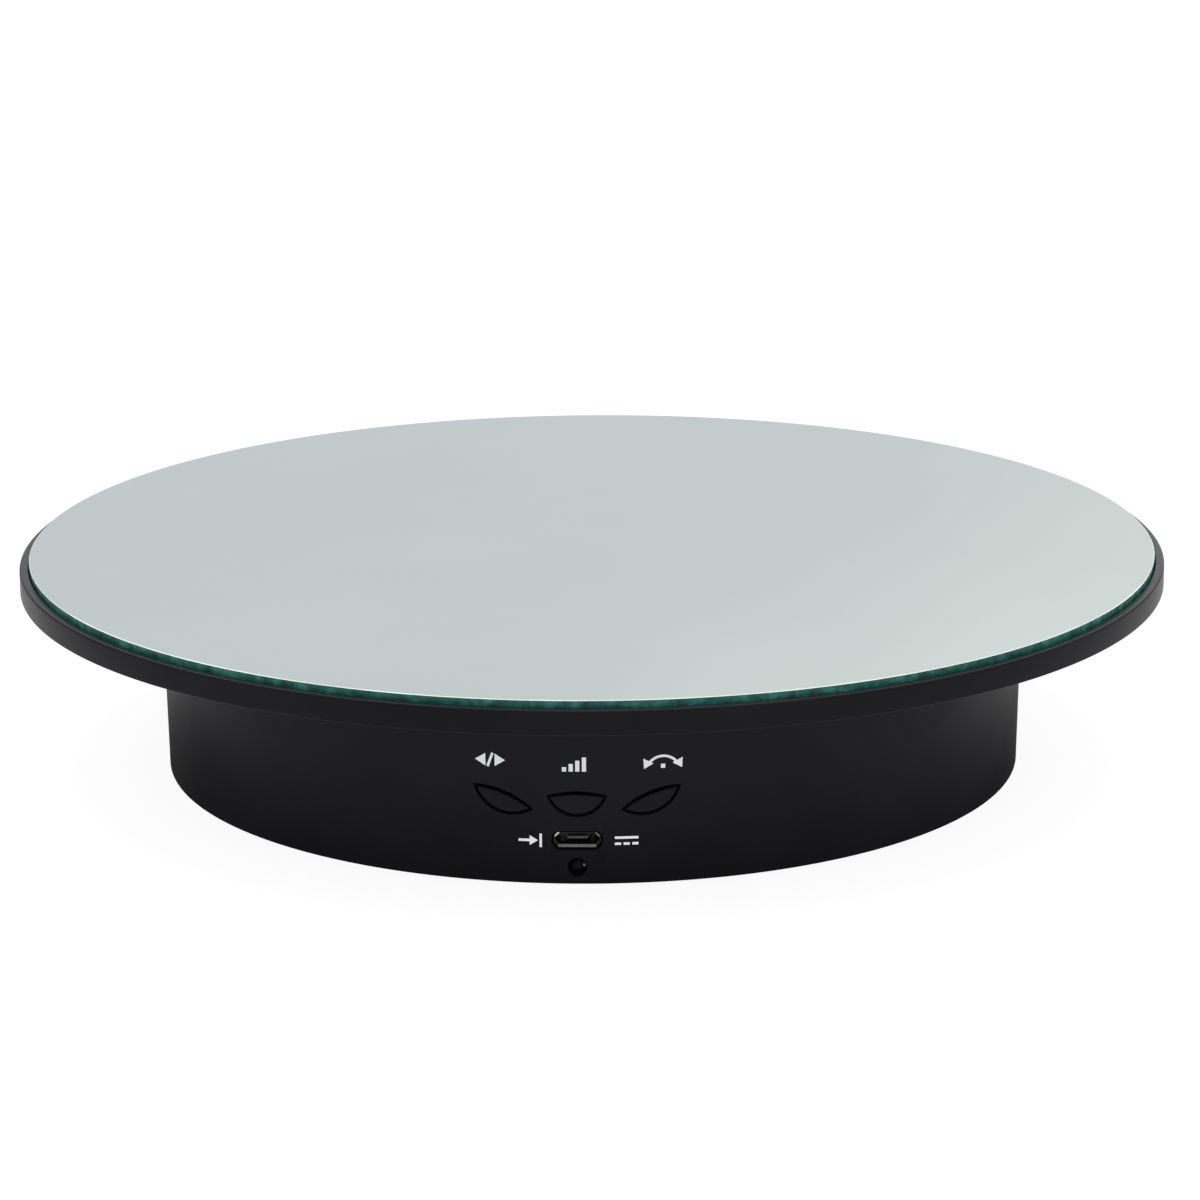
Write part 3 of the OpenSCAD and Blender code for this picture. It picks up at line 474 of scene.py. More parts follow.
# how each of the record's material slots looks
FINISHES = {
    "mirror": dict(colour=(0.92, 0.955, 0.945), roughness=0.03, metallic=1.0, vary=0.03, vary_scale=18,
                   rough_vary=0.012),
    "foam_tape": dict(colour=(0.70, 0.70, 0.66), roughness=0.9, vary_scale=900, grain=0.8, grain_scale=2500),
    "platter_plastic": dict(colour=BLACK, roughness=0.36, specular=0.055, vary=0.2, grain=0.25,
                            grain_scale=5000),
    "base_plastic": dict(colour=DRUM_TOP, second=DRUM_FOOT_SHADE, roughness=0.40, specular=0.045, vary_scale=45,
                         grain=0.35, grain_scale=5000, extras=painted_foot_shade),
    "cover_plastic": dict(colour=(0.010, 0.010, 0.011), roughness=0.6, specular=0.15, vary=0.25, grain=0.8,
                          grain_scale=1800),
    "key_plastic": dict(colour=BLACK, roughness=0.36, specular=0.08, vary=0.2, vary_scale=90, grain=0.25,
                        grain_scale=6000),
    "nylon": dict(colour=(0.70, 0.67, 0.58), roughness=0.42, vary=0.08, vary_scale=150, grain=0.2),
    "zinc_screw": dict(colour=(0.60, 0.62, 0.66), roughness=0.30, metallic=1.0, vary_scale=700, grain=0.3),
    "steel": dict(colour=(0.56, 0.57, 0.59), roughness=0.28, metallic=1.0, vary_scale=300,
                  extras=banded(2600, 0.01 * MM)),
    "pressed_steel": dict(colour=(0.52, 0.53, 0.55), roughness=0.34, metallic=1.0, vary_scale=200, grain=0.2,
                          extras=banded(1500, 0.008 * MM, rings=True)),
    "spring_steel": dict(colour=(0.06, 0.06, 0.065), roughness=0.4, metallic=0.8, vary=0.3, vary_scale=500,
                         grain=0.3),
    "ball_steel": dict(colour=(0.72, 0.73, 0.75), roughness=0.07, metallic=1.0, vary=0.05, vary_scale=900,
                       rough_vary=0.03),
    "sintered_bronze": dict(colour=(0.45, 0.27, 0.11), roughness=0.45, metallic=0.9, vary=0.4,
                            vary_scale=2200, grain=0.9, grain_scale=4000),
    "coil_iron": dict(colour=(0.36, 0.15, 0.06), roughness=0.38, metallic=0.6, vary=0.35, vary_scale=250,
                      extras=banded(1900, 0.06 * MM)),
    "blue_plastic": dict(colour=(0.03, 0.09, 0.36), roughness=0.25, vary=0.12, vary_scale=250, grain=0.15),
    "brass": dict(colour=(0.62, 0.42, 0.13), roughness=0.28, metallic=1.0, vary_scale=400,
                  extras=banded(2200, 0.01 * MM)),
    "wire_sleeve": dict(colour=(0.42, 0.05, 0.03), roughness=0.38, vary=0.15, vary_scale=350, grain=0.2),
    "connector_plastic": dict(colour=(0.74, 0.72, 0.63), roughness=0.42, vary=0.07, vary_scale=300,
                              grain=0.2),
    "tinned_metal": dict(colour=(0.40, 0.39, 0.36), roughness=0.30, metallic=1.0, vary=0.3, vary_scale=900,
                         grain=0.3),
    "circuit_board": dict(colour=(0.012, 0.10, 0.05), roughness=0.3, vary=0.3, vary_scale=300,
                          extras=board_tracks),
    "chip_plastic": dict(colour=(0.016, 0.016, 0.018), roughness=0.5, specular=0.3, vary_scale=500, grain=0.6,
                         grain_scale=3500),
    "plunger_plastic": dict(colour=(0.26, 0.015, 0.012), roughness=0.28, vary_scale=500, grain=0.1),
    "gold_contact": dict(colour=(0.78, 0.52, 0.15), roughness=0.22, metallic=1.0, vary_scale=1500),
    # lamp_lens: a clear lens coloured near-black, as painted shade of the dark hollow seen through it
    "lamp_lens": dict(colour=(0.006, 0.0065, 0.006), roughness=0.22, specular=0.05, vary=0.3, vary_scale=500),
    "capacitor_sleeve": dict(colour=(0.012, 0.022, 0.09), roughness=0.25, vary_scale=260, grain=0.15),
    "foot_rubber": dict(colour=(0.016, 0.016, 0.016), roughness=0.78, specular=0.25, vary=0.3, vary_scale=300,
                        grain=0.8, grain_scale=2200),
}
MATERIALS = {slot: shade(slot, **finish) for slot, finish in FINISHES.items()}
GLASS_EDGE = shade("glass_edge", (0.013, 0.103, 0.084), 0.3, specular=0.25, vary_scale=560,
                   second=(0.005, 0.048, 0.041), extras=glass_patches)
# the ground arris: pale, and made paler still as a painted highlight along the glass's edge
GLASS_ARRIS_HIGHLIGHT = shade("glass_arris_highlight", (0.72, 0.80, 0.77), 0.25, specular=0.4, vary=0.35, vary_scale=40)
# painted sheen: a lighter, glossier copy of the platter plastic for its upward ledge
LEDGE_SHEEN = shade("ledge_painted_sheen", (0.011, 0.0115, 0.0125), 0.26, specular=0.24, vary=0.2, vary_scale=50,
                    grain=0.15, grain_scale=5000)
MIRROR_BACK = shade("mirror_back", (0.30, 0.31, 0.30), 0.6, vary=0.2, vary_scale=120, grain=0.4)
PRINT_WHITE = shade("print_white", (0.96, 0.99, 1.0), 0.5, vary=0.05, vary_scale=900, grain=0.2)
TONGUE_GREY = shade("tongue_grey", (0.10, 0.10, 0.10), 0.45, specular=0.3, vary=0.2, vary_scale=700,
                    grain=0.3)
# painted highlight: the pale dot that stands for the lamp lens's glint
LAMP_GLINT = shade("lamp_painted_glint", (0.26, 0.25, 0.20), 0.4, specular=0.1, vary=0.3, vary_scale=2500)
# the socket's front in painted light: dark painted shade, a painted highlight on its lower lip and right
# upper corner, and a brighter painted glint on its left upper corner
SHELL_SHADE = shade("shell_painted_shade", (0.022, 0.021, 0.020), 0.35, metallic=1.0, vary=0.3, vary_scale=900,
                   grain=0.3)
SHELL_LIP_HIGHLIGHT = shade("shell_lip_painted_highlight", (0.15, 0.145, 0.13), 0.35, metallic=1.0, vary=0.35, vary_scale=1500,
                  grain=0.3)
SHELL_GLINT = shade("shell_painted_glint", (0.52, 0.53, 0.52), 0.25, metallic=1.0, vary=0.4, vary_scale=1800)


def dress_nodes():
    """Gives every CAD node that still shows the material of its slot in the record."""
    for part in frame["record"]["subparts"]:
        for holder in NODES[part["node"]].material_slots:
            holder.link = "OBJECT"
            holder.material = MATERIALS[part["material_slot"]]


# ---------------------------------------------------------------- mirror
def make_mirror():
    """The glass disc: mirror on top, green ground edge with a pale arris that also carries a painted
    highlight, grey paint below.
    """
    low, high = GLASS_LOW.z, GLASS_HIGH.z
    arris = 0.12 * MM
    outline = [
        (0, low), (MIRROR_R - arris, low), (MIRROR_R, low + arris), (MIRROR_R, high - arris),
        (MIRROR_R - arris, high), (0, high),
    ]
    bm = bmesh.new()
    revolve(bm, outline)
    obj = finish_mesh("mirror_disc", bm, MATERIALS["mirror"], sharp=20)
    for material in (GLASS_EDGE, GLASS_ARRIS_HIGHLIGHT, MIRROR_BACK):
        obj.data.materials.append(material)
    for face in obj.data.polygons:
        up = face.normal.z
        face.material_index = 0 if up > 0.99 else 3 if up < -0.99 else 2 if up > 0.5 else 1
    piece(obj, "turntable", "mirror", "mirror_glass")


# ---------------------------------------------------------------- platter
def make_platter():
    """The platter's shell with its ledge, and under it the ribs, hub, race seat and gear bosses."""
    rim = 2.2 * MM
    edge = 0.45 * MM
    low_edge = 0.2 * MM
    tiny = 0.15 * MM
    wall = MIRROR_R + 0.15 * MM
    bm = bmesh.new()
    revolve(bm, rounded([
        (0, PLATE_Z0, 0), (PLATTER_R - rim, PLATE_Z0, tiny), (PLATTER_R - rim, PLATTER_Z0, tiny),
        (PLATTER_R, PLATTER_Z0, low_edge), (PLATTER_R, LEDGE_Z, edge), (wall, LEDGE_Z, tiny),
        (wall, RECESS_Z, tiny), (0, RECESS_Z, 0),
    ]))
    obj = finish_mesh("platter_shell", bm, MATERIALS["platter_plastic"])
    obj.data.materials.append(LEDGE_SHEEN)
    # the ledge's upward faces take the copy with painted sheen
    for face in obj.data.polygons:
        if face.normal.z > 0.8 and face.center.z > LEDGE_Z - edge:
            face.material_index = 1
    piece(obj, "turntable", "platter_plastic", "platter")

    rib = 1.4 * MM
    rib_count = 12
    inner_ring_r = 46 * MM
    outer_ring_r = 81.4 * MM
    hub_bore = 4 * MM
    hub_r = 9 * MM
    race_seat_r = 30.5 * MM
    gear_screw_at = 37 * MM
    gear_boss_r = 3.5 * MM
    gear_bore = 1.3 * MM
    round_end = 0.3 * MM
    sunk = PLATE_Z0 + PLATE_T / 2
    bm = bmesh.new()
    for outer in (inner_ring_r, outer_ring_r):
        revolve(bm, collar(outer - rib, outer, PLATTER_Z0, sunk, low_edge, low_edge), 180)
    for i in range(rib_count):
        start = (inner_ring_r - rib / 2, -rib / 2, PLATTER_Z0)
        end = (PLATTER_R - rim / 2, rib / 2, sunk)
        slab(bm, start, end, tiny, spin((i + 0.5) * 360 / rib_count))
    revolve(bm, collar(hub_r - MM, race_seat_r, RACE_TOP, sunk, 0, round_end), 180)
    revolve(bm, collar(hub_bore, hub_r, HUB_Z0, sunk, low_edge, 0.4 * MM), 96)
    for x, y in around(6, gear_screw_at, 0):
        turned(bm, collar(gear_bore, gear_boss_r, 0, sunk - GEAR_TOP, 0, round_end), (x, y, GEAR_TOP))
    ribs = finish_mesh("platter_ribs", bm, MATERIALS["platter_plastic"])
    piece(ribs, "turntable", "platter_plastic")


# ---------------------------------------------------------------- base drum
def window_cutter(name, narrow, wide):
    """A prism through the drum wall whose mouth opens from one outline to a wider one."""
    chamfer = 0.14 * MM
    beyond = 0.02 * MM
    bm = bmesh.new()
    loft(bm, [
        on_plane(narrow, BOARD_Y - 4 * MM), on_drum(narrow, chamfer), on_drum(wide, -beyond),
        on_plane(wide, -BASE_R - 2 * MM),
    ])
    return finish_mesh(name, bm, MATERIALS["base_plastic"])


def make_housing():
    """The drum with its gear well, the windows in its front, its posts, ribs and board bosses."""
    inner = BASE_R - WALL
    well_out = WELL_R + WALL
    deck_z0 = DECK_Z - WALL
    soft = 0.4 * MM
    slight = 0.3 * MM
    bm = bmesh.new()
    revolve(bm, rounded([
        (BUSH_R, BOSS_Z0, 0), (BOSS_R, BOSS_Z0, slight), (BOSS_R, FLOOR_Z0, slight),
        (well_out, FLOOR_Z0, soft), (well_out, deck_z0, slight), (inner, deck_z0, slight),
        (inner - DRAFT, BASE_Z0, 0.1 * MM), (BASE_R - DRAFT, BASE_Z0, 0.12 * MM), (BASE_R, DECK_Z, 0.5 * MM),
        (WELL_R, DECK_Z, soft), (WELL_R, FLOOR_Z, soft), (BUSH_R, FLOOR_Z, 0),
    ]))
    obj = finish_mesh("drum_housing", bm, MATERIALS["base_plastic"])
    key_gap = KEY_GAP - KEY_SLIM
    for name, shape in KEY_SHAPES.items():
        boolean(obj, window_cutter(name + "_window", leaf(shape, key_gap), leaf(shape, key_gap + 0.16)))
    usb_gap = 0.4 * MM
    boolean(obj, window_cutter("usb_window", usb_outline(usb_gap), usb_outline(usb_gap + 0.2 * MM)))
    hole = [(x, LED_Z + z) for x, z in around(48, LED_R + 0.05 * MM, 0)]
    flare = [(x * 1.1, LED_Z + (z - LED_Z) * 1.1) for x, z in hole]
    boolean(obj, window_cutter("led_window", hole, flare))
    piece(obj, "base", "base_plastic", "base_housing")

    post_r = 3.5 * MM
    post_bore = 1.4 * MM
    rib_half = 0.8 * MM
    rib_depth = 4 * MM
    board_boss_r = 2.6 * MM
    board_bore = 1.0 * MM
    bm = bmesh.new()
    for x, y in around(4, POST_AT, 45):
        outline = collar(post_bore, post_r, 0, DECK_Z - WALL / 2 - POST_Z0, 0.1 * MM, slight)
        turned(bm, outline, (x, y, POST_Z0))
    for angle in (0, 45, 135, 180, 225, 315):
        start = (BOSS_R - 0.5 * MM, -rib_half, FLOOR_Z0 - rib_depth)
        end = (WELL_R + WALL / 2, rib_half, FLOOR_Z0 + WALL / 2)
        slab(bm, start, end, 0.2 * MM, spin(angle))
    for x in (-25 * MM, 25 * MM):
        for z in (8 * MM, 22 * MM):
            length = BOARD_Y - drum_y(x, z) - WALL / 2
            turned(bm, collar(board_bore, board_boss_r, 0, length, 0.1 * MM, 0.2 * MM), (x, BOARD_Y, z), "-Y")
    posts = finish_mesh("drum_posts_and_ribs", bm, MATERIALS["base_plastic"])
    piece(posts, "base", "base_plastic")


# ---------------------------------------------------------------- keys
def make_key(name, shape):
    """A key's cap with a rounded edge, its stem onto the switch and the flange that keeps it in."""
    back = max(drum_y(x, z) for x, z in leaf(shape)) + WALL
    cap_end = back + MM
    edge = 0.17
    rings = [on_plane(key_face(shape, 0.05), cap_end), on_plane(key_face(shape, 0), cap_end - 0.1 * MM)]
    for shrink, depth in ((0, 0.22), (0.06, 0.08), (edge, 0.02)):
        rings.append(on_drum(key_face(shape, shrink), KEY_SINK + depth * MM))
    for scale in (0.93, 0.8, 0.6, 0.4, 0.2, 0.05):
        rings.append(on_drum(key_face(shape, edge, scale), KEY_SINK))
    bm = bmesh.new()
    loft(bm, rings)
    x, z = key_press(shape)
    stem_r = 1.1 * MM
    stem_length = 3.5 * MM
    small = 0.15 * MM
    rod(bm, (x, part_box(name + "_plunger")[0].y, z), stem_r, stem_length, small)
    flange_y = drum_y(x, z) + WALL + 0.12 * MM
    tilt = Matrix.Translation((x, 0, z)) @ Matrix.Rotation(math.radians(-shape[2]), 4, "Y")
    slab(bm, (-2.6 * MM, flange_y, -3.3 * MM), (2.6 * MM, flange_y + 0.9 * MM, 2.4 * MM), small, tilt)
    obj = finish_mesh(name + "_key_cap", bm, MATERIALS["key_plastic"])
    piece(obj, name + "_key", "key_plastic", name + "_button")


# ---------------------------------------------------------------- socket and lamp
def make_usb():
    """The socket's metal shell, flared at the mouth, its front in painted light: dark painted shade, a
    painted highlight on the lower lip and right corner, a brighter painted glint on the left corner.
    """
    mouth = USB_LOW.y
    inside = -0.3 * MM
    lip = 0.18 * MM
    sill = 0.3 * MM
    small = 0.05 * MM
    bm = bmesh.new()
    loft(bm, [
        on_plane(usb_outline(inside), BOARD_Y - MM), on_plane(usb_outline(inside), mouth + 1.6 * MM),
        on_plane(usb_outline(inside, sill), mouth + 0.7 * MM),
        on_plane(usb_outline(inside + lip, sill), mouth + 0.1 * MM),
        on_plane(usb_outline(inside + lip + small, sill), mouth),
        on_plane(usb_outline(lip - small), mouth), on_plane(usb_outline(lip), mouth + 0.06 * MM),
        on_plane(usb_outline(0), mouth + 0.8 * MM), on_plane(usb_outline(0), BOARD_Y),
    ])
    shell = finish_mesh("usb_metal_shell", bm, MATERIALS["tinned_metal"])
    for material in (SHELL_SHADE, SHELL_LIP_HIGHLIGHT, SHELL_GLINT):
        shell.data.materials.append(material)
    for face in shell.data.polygons:
        x, z = abs(face.center.x), face.center.z - USB_Z
        low_lip = z < -0.5 * MM and x < USB_HIGH.x - 0.5 * MM
        corner = z > 0.8 * MM and x > USB_HIGH.x - 0.85 * MM
        glint_index = 3 if face.center.x < 0 else 2
        # front faces: painted shade, with a painted highlight on the lower lip and right corner and a painted
        # glint on the left corner
        if face.center.y < mouth + 1.55 * MM:
            face.material_index = 2 if low_lip else glint_index if corner else 1
    piece(shell, "base", "tinned_metal", "usb_shell")


def make_tongue():
    """The socket's plastic tongue: the block at the back and a thinner blade reaching forwards."""
    low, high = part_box("usb_tongue")
    reach = Vector((0, 1.3 * MM, 0))
    trim = Vector((0.3 * MM, 0, 0.1 * MM))
    bevel = 0.12 * MM
    bm = bmesh.new()
    slab(bm, low, high, bevel)
    slab(bm, low + trim - reach, Vector((high.x, low.y, high.z)) - trim + reach, bevel)
    piece(finish_mesh("usb_socket_tongue", bm, TONGUE_GREY), "base", "chip_plastic", "usb_tongue")


def make_lamp():
    """A 3 mm lamp: dome, flange and two legs into the board."""
    body = 3.7 * MM
    flange_r = 1.9 * MM
    leg_r = 0.25 * MM
    leg_x = 1.27 * MM
    at = Vector((0, LED_LOW.y + LED_R, LED_Z))
    outline = [(0, -body), (flange_r, -body), (flange_r, MM - body), (LED_R, MM - body)]
    for k in range(13):
        a = k * math.pi / 24
        outline.append((LED_R * math.cos(a), LED_R * math.sin(a)))
    bm = bmesh.new()
    turned(bm, outline, at, "-Y")
    for x in (-leg_x, leg_x):
        rod(bm, (x, BOARD_Y, LED_Z), leg_r, BOARD_Y - at.y - body + 0.2 * MM, 0, 12)
    piece(finish_mesh("indicator_lamp", bm, MATERIALS["lamp_lens"]), "base", "lamp_lens", "power_led")


def make_lamp_painted_glint():
    """A pale dot behind the right side of the lamp's lens, standing for its glint: a painted highlight."""
    x = 1.1 * MM
    y = LED_LOW.y + LED_R - math.sqrt(LED_R ** 2 - x ** 2) + 0.12 * MM
    bm = bmesh.new()
    rod(bm, (x, y, LED_Z + 0.05 * MM), 0.28 * MM, 0.34 * MM, 0.1 * MM, 24)
    piece(finish_mesh("lamp_painted_glint", bm, LAMP_GLINT), "base", "lamp_lens")


# ---------------------------------------------------------------- printed pictograms
def ribbon(points, width):
    """A stroke of even width along (x, z) points: one run of (left, right) pairs."""
    run = []
    for i, p in enumerate(points):
        before = Vector(points[max(i - 1, 0)])
        after = Vector(points[min(i + 1, len(points) - 1)])
        n = (after - before).normalized()
        n = Vector((-n.y, n.x)) * width / 2
        run.append((Vector(p) - n, Vector(p) + n))
    return [run]


def arc(cx, cy, r, a0, a1):
    """Points on an arc, angles in degrees."""
    steps = 16
    turn = [math.radians(a0 + (a1 - a0) * k / steps) for k in range(steps + 1)]
    return [(cx + r * math.cos(t), cy + r * math.sin(t)) for t in turn]


def arrow_head(x, y, angle, size):
    """A triangle whose tip is at x, y, pointing along angle in degrees."""
    a = math.radians(angle)
    ahead = Vector((math.cos(a), math.sin(a))) * size
    side = Vector((-math.sin(a), math.cos(a))) * size * 0.62
    tip = Vector((x, y))
    nearer = (1, 0.7, 0.4, 0.03)
    return [[(tip - ahead * t - side * t, tip - ahead * t + side * t) for t in nearer]]


def bar(x0, x1, y0, y1):
    """A rectangle, in strips narrow enough to follow the drum."""
    strip = 0.6
    count = max(1, math.ceil((x1 - x0) / strip))
    edges = [x0 + (x1 - x0) * k / count for k in range(count + 1)]
    return [[((x, y0), (x, y1)) for x in edges]]


def make_prints():
    """White pictograms over the keys and beside the socket, each as where it is in mm and its strokes."""
    stroke = 0.42
    proud = 0.03 * MM
    two_ways = arrow_head(-2.45, 0, 180, 1.7) + arrow_head(2.45, 0, 0, 1.7)
    two_ways += ribbon([(-0.42, -1.15), (0.42, 1.15)], stroke)
    rising = []
    for i in range(4):
        rising += bar(-1.95 + 1.07 * i, -1.27 + 1.07 * i, -1.2, -0.45 + 0.55 * i)
    swing = ribbon(arc(0, -1.9, 2.75, 30, 150), stroke) + bar(-0.35, 0.35, -1.2, -0.5)
    swing += arrow_head(3.05, -1.25, -62, 1.5) + arrow_head(-3.05, -1.25, -118, 1.5)
    arrow_in = bar(-1.9, 0.1, -stroke / 2, stroke / 2) + arrow_head(1.25, 0, 0, 1.35)
    arrow_in += bar(1.5, 1.9, -1.15, 1.15)
    direct = bar(-1.9, 1.9, 0.28, 0.28 + stroke)
    for i in range(3):
        direct += bar(-1.9 + 1.4 * i, -0.9 + 1.4 * i, -0.75, -0.75 + stroke)
    prints = {
        "print_direction": (-14.0, 20.8, two_ways),
        "print_speed": (-0.4, 20.4, rising),
        "print_angle": (13.9, 20.7, swing),
        "print_input": (-7.6, 7.4, arrow_in),
        "print_supply": (8.0, 7.4, direct),
    }
    for name, (x0, z0, runs) in prints.items():
        bm = bmesh.new()
        for run in runs:
            rings = []
            for pair in run:
                flat = [((x0 + p[0]) * MM, BASE_Z0 + (z0 + p[1]) * MM) for p in pair]
                rings.append(on_drum(flat, -proud) + on_drum(flat[::-1], proud))
            loft(bm, rings)
        piece(finish_mesh(name, bm, PRINT_WHITE), "base", "base_plastic")


# ---------------------------------------------------------------- feet
def make_feet():
    """Four rubber pads with a rounded edge on the table."""
    low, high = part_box("rubber_feet")
    height = high.z - low.z
    outline = rounded([(0, 0, 0), (FOOT_R, 0, 0.4 * MM), (FOOT_R, height, 0.1 * MM), (0, height, 0)], 4)
    bm = bmesh.new()
    for x, y in around(4, FOOT_AT, 0):
        turned(bm, outline, (x, y, low.z))
    piece(finish_mesh("rubber_foot_pads", bm, MATERIALS["foot_rubber"]), "base", "foot_rubber", "rubber_feet")


# ---------------------------------------------------------------- bottom cover and its screws
def make_cover():
    """The cover plate with its stiffening ring, screw cups and the hollows for feet and screw heads."""
    low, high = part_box("bottom_cover")
    cover_t = 1.8 * MM
    z1 = low.z + cover_t
    slight = 0.3 * MM
    soft = 0.2 * MM
    ring = 46 * MM
    ring_t = 1.4 * MM
    bm = bmesh.new()
    revolve(bm, rounded([
        (0, low.z, 0), (high.x, low.z, 0.35 * MM), (high.x, z1, soft), (ring + ring_t, z1, slight),
        (ring + ring_t, z1 + ring_t, soft), (ring, z1 + ring_t, soft), (ring, z1, slight), (0, z1, 0),
    ], 4))
    cover = finish_mesh("bottom_cover_plate", bm, MATERIALS["cover_plastic"])

    cup_r = 4.4 * MM
    cup = rounded([(0, z1 - MM, 0), (cup_r, z1 - MM, 0), (cup_r, high.z, slight), (0, high.z, 0)], 4)
    bm = bmesh.new()
    for x, y in around(4, SCREW_AT, 45):
        turned(bm, cup, (x, y, 0))
    boolean(cover, finish_mesh("cups", bm, MATERIALS["cover_plastic"]), "UNION")

    head_hole = 3.1 * MM
    head_flare = head_hole + slight
    shank_hole = 1.7 * MM
    seat = low.z + 2.4 * MM
    foot_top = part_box("rubber_feet")[1].z
    foot_hole = FOOT_R + soft
    foot_flare = foot_hole + soft
    bottom, top = low.z - MM, high.z + MM
    screw_hole = [(0, bottom), (head_flare, bottom), (head_flare, low.z), (head_hole, low.z + slight),
                  (head_hole, seat), (shank_hole, seat), (shank_hole, top), (0, top)]
    foot_pocket = [(0, bottom), (foot_flare, bottom), (foot_flare, low.z), (foot_hole, low.z + soft),
                   (foot_hole, foot_top), (0, foot_top)]
    bm = bmesh.new()
    for x, y in around(4, SCREW_AT, 45):
        turned(bm, screw_hole, (x, y, 0))
    for x, y in around(4, FOOT_AT, 0):
        turned(bm, foot_pocket, (x, y, 0))
    boolean(cover, finish_mesh("holes", bm, MATERIALS["cover_plastic"]))
    piece(cover, "base", "cover_plastic", "bottom_cover")


def make_cover_screws():
    """Pan-head screws with a cross recess and a coarse thread."""
    length = SCREW_HIGH.z - SCREW_LOW.z
    head_h = 2 * MM
    pitch = 0.9 * MM
    crest_r = 1.4 * MM
    root_r = 1.1 * MM
    thread = []
    z = length - 0.8 * MM
    while z > head_h + pitch:
        thread += [(crest_r, z), (root_r, z - pitch / 2)]
        z -= pitch
    outline = rounded([(0, 0, 0), (SCREW_HEAD_R * 0.8, 0, 0.5 * MM), (SCREW_HEAD_R, 0.8 * MM, 0.5 * MM),
                       (SCREW_HEAD_R, head_h, 0.15 * MM), (1.2 * MM, head_h, 0)], 4)
    outline += thread[::-1] + [(0.3 * MM, length), (0, length)]
    screws = bmesh.new()
    recesses = bmesh.new()
    for x, y in around(4, SCREW_AT, 45):
        turned(screws, outline, (x, y, SCREW_LOW.z))
        part = bmesh.new()
        loft(part, [cross(1.0, -0.5), cross(1.0, 0.0), cross(0.45, 1.3)])
        add(recesses, part, Matrix.Translation((x, y, SCREW_LOW.z)) @ spin(20))
    obj = finish_mesh("cover_pan_screws", screws, MATERIALS["zinc_screw"])
    boolean(obj, finish_mesh("recesses", recesses, MATERIALS["zinc_screw"]))
    piece(obj, "base", "zinc_screw", "cover_screws")


def cross(scale, z):
    """A cross-shaped outline at height z mm, for a screw's recess."""
    arm, half = 1.6 * scale, 0.36 * scale
    corners = [(half, half), (half, arm), (-half, arm), (-half, half), (-arm, half), (-arm, -half),
               (-half, -half), (-half, -arm), (half, -arm), (half, -half), (arm, -half), (arm, half)]
    return [(x * MM, y * MM, z * MM) for x, y in corners]


# ---------------------------------------------------------------- stage: floor, light, camera
def make_floor():
    """A matt white floor with a glow of its own, so that it stays white with hardly a shadow."""
    bm = bmesh.new()
    bmesh.ops.create_grid(bm, x_segments=1, y_segments=1, size=6)
    material = bpy.data.materials.new("floor_white")
    material.use_nodes = True
    bsdf = material.node_tree.nodes["Principled BSDF"]
    bsdf.inputs["Base Color"].default_value = (0.09, 0.09, 0.09, 1)
    bsdf.inputs["Roughness"].default_value = 0.9
    bsdf.inputs["Specular IOR Level"].default_value = 0.0
    bsdf.inputs["Emission Color"].default_value = (1, 1, 1, 1)
    bsdf.inputs["Emission Strength"].default_value = 0.94
    finish_mesh("floor", bm, material)


def make_light():
    """One wide soft light overhead, kept out of the mirror."""
    at = Vector((0, -0.1, 1.1))
    aim = Vector((0, 0, 0.02))
    data = bpy.data.lights.new("top_softbox", "AREA")
    data.shape = "SQUARE"
    data.size = 1.4
    data.energy = 18
    obj = bpy.data.objects.new("top_softbox", data)
    bpy.context.scene.collection.objects.link(obj)
    obj.location = at
    obj.rotation_mode = "QUATERNION"
    obj.rotation_quaternion = (aim - at).to_track_quat("-Z", "Y")
    obj.visible_glossy = False


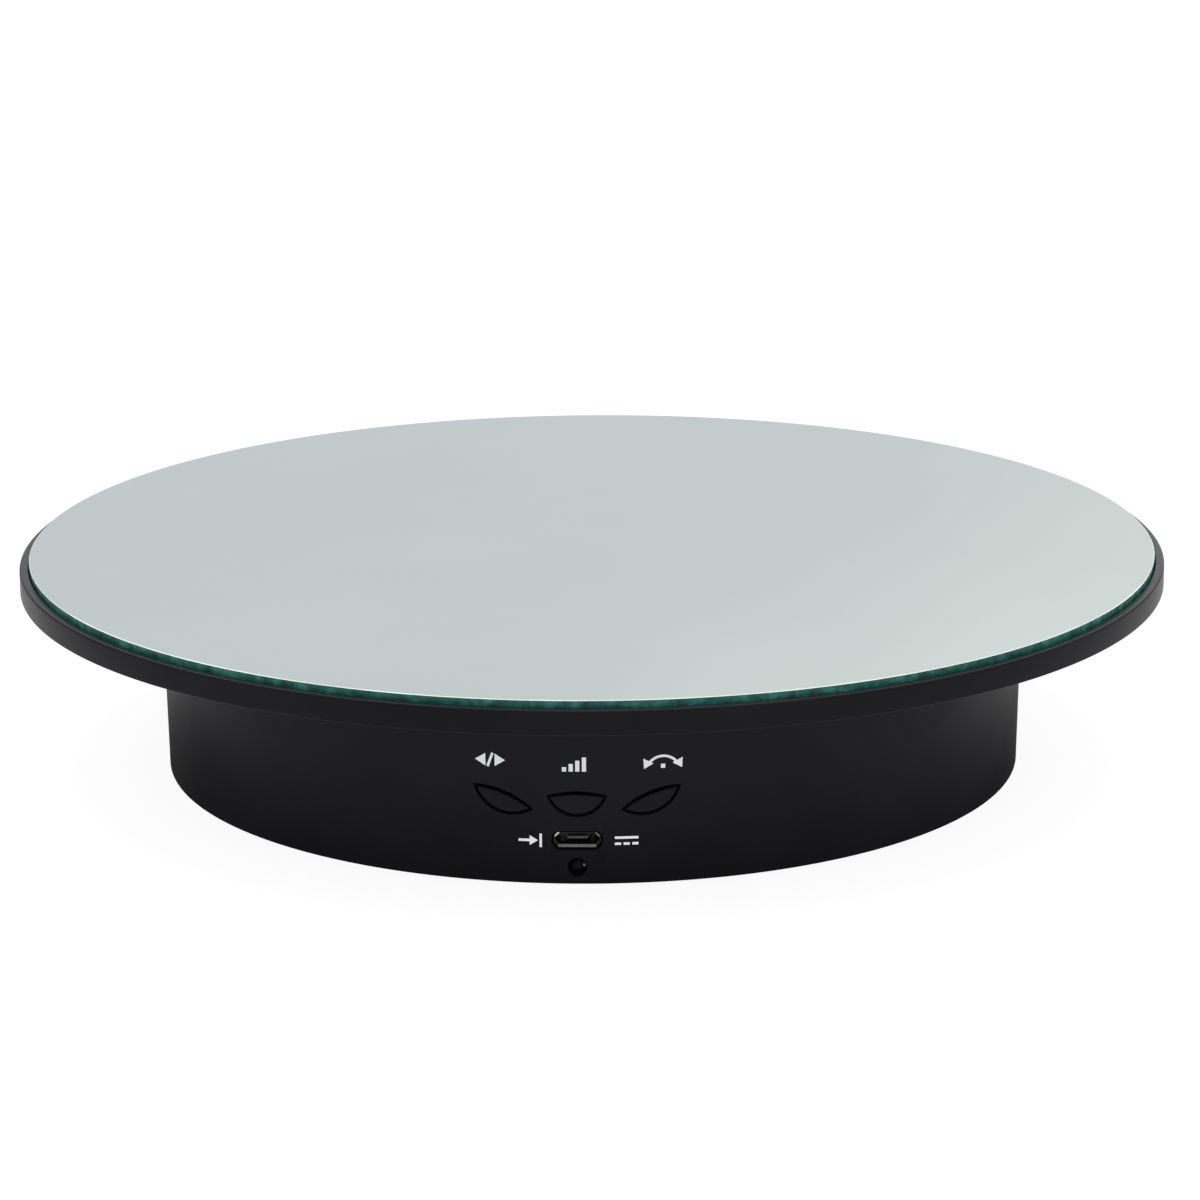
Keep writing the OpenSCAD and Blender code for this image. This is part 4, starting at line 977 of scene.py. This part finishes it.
def make_world():
    """Pale studio: a soft grey-green wall that the mirror shows, lighter to the right and higher up."""
    world = bpy.data.worlds.new("studio")
    bpy.context.scene.world = world
    world.use_nodes = True
    tree = world.node_tree
    background = tree.nodes["Background"]
    where = tree.nodes.new("ShaderNodeTexCoord")
    split = tree.nodes.new("ShaderNodeSeparateXYZ")
    link(tree, where, "Generated", split, "Vector")
    patches = tree.nodes.new("ShaderNodeTexNoise")
    patches.inputs["Scale"].default_value = 9
    patches.inputs["Detail"].default_value = 2
    link(tree, where, "Generated", patches, "Vector")
    tilt = tree.nodes.new("ShaderNodeMath")
    tilt.operation = "MULTIPLY_ADD"
    tilt.inputs[1].default_value = 0.55
    link(tree, split, "X", tilt, 0)
    link(tree, split, "Z", tilt, 2)
    blend = tree.nodes.new("ShaderNodeMath")
    blend.operation = "MULTIPLY_ADD"
    blend.inputs[1].default_value = 0.10
    link(tree, patches, "Fac", blend, 0)
    link(tree, tilt, "Value", blend, 2)
    ramp = tree.nodes.new("ShaderNodeValToRGB")
    stops = [
        (0.0, 0.50, 0.53, 0.54), (0.22, 0.575, 0.61, 0.63), (0.31, 0.595, 0.63, 0.635),
        (0.37, 0.70, 0.74, 0.72), (0.42, 0.79, 0.82, 0.80), (0.55, 0.80, 0.83, 0.82),
        (0.72, 0.60, 0.64, 0.65), (0.95, 0.78, 0.80, 0.81),
    ]
    ramp.color_ramp.elements[0].position = stops[0][0]
    ramp.color_ramp.elements[0].color = (*stops[0][1:], 1)
    ramp.color_ramp.elements[1].position = stops[-1][0]
    ramp.color_ramp.elements[1].color = (*stops[-1][1:], 1)
    for position, *colour in stops[1:-1]:
        ramp.color_ramp.elements.new(position).color = (*colour, 1)
    link(tree, blend, "Value", ramp, "Fac")
    link(tree, ramp, "Color", background, "Color")


def make_camera():
    """At the photograph's angle: 15 degrees above the table, a long lens, the mirror above the middle."""
    elevation = math.radians(14.57)
    side = math.radians(2.05)
    distance = 0.7916
    pan, tilt, roll = (math.radians(a) for a in (-0.10, -0.757, -0.38))
    data = bpy.data.cameras.new("camera")
    data.sensor_width = 36
    data.lens = 135
    camera = bpy.data.objects.new("camera", data)
    bpy.context.scene.collection.objects.link(camera)
    level = math.cos(elevation)
    back = Vector((math.sin(side) * level, -math.cos(side) * level, math.sin(elevation)))
    camera.location = Vector((0, 0, GLASS_HIGH.z)) + back * distance
    aim = (-back).to_track_quat("-Z", "Y").to_matrix().to_4x4()
    turn = Matrix.Rotation(pan, 4, "Y") @ Matrix.Rotation(tilt, 4, "X") @ Matrix.Rotation(roll, 4, "Z")
    camera.rotation_mode = "QUATERNION"
    camera.rotation_quaternion = (aim @ turn).to_quaternion()
    bpy.context.scene.camera = camera


bpy.context.scene.view_settings.view_transform = "Standard"
make_camera()
make_world()
make_floor()
make_light()
dress_nodes()
make_mirror()
make_platter()
make_housing()
for key_name, key_shape in KEY_SHAPES.items():
    make_key(key_name, key_shape)
make_usb()
make_tongue()
make_lamp()
make_lamp_painted_glint()
make_prints()
make_feet()
make_cover()
make_cover_screws()
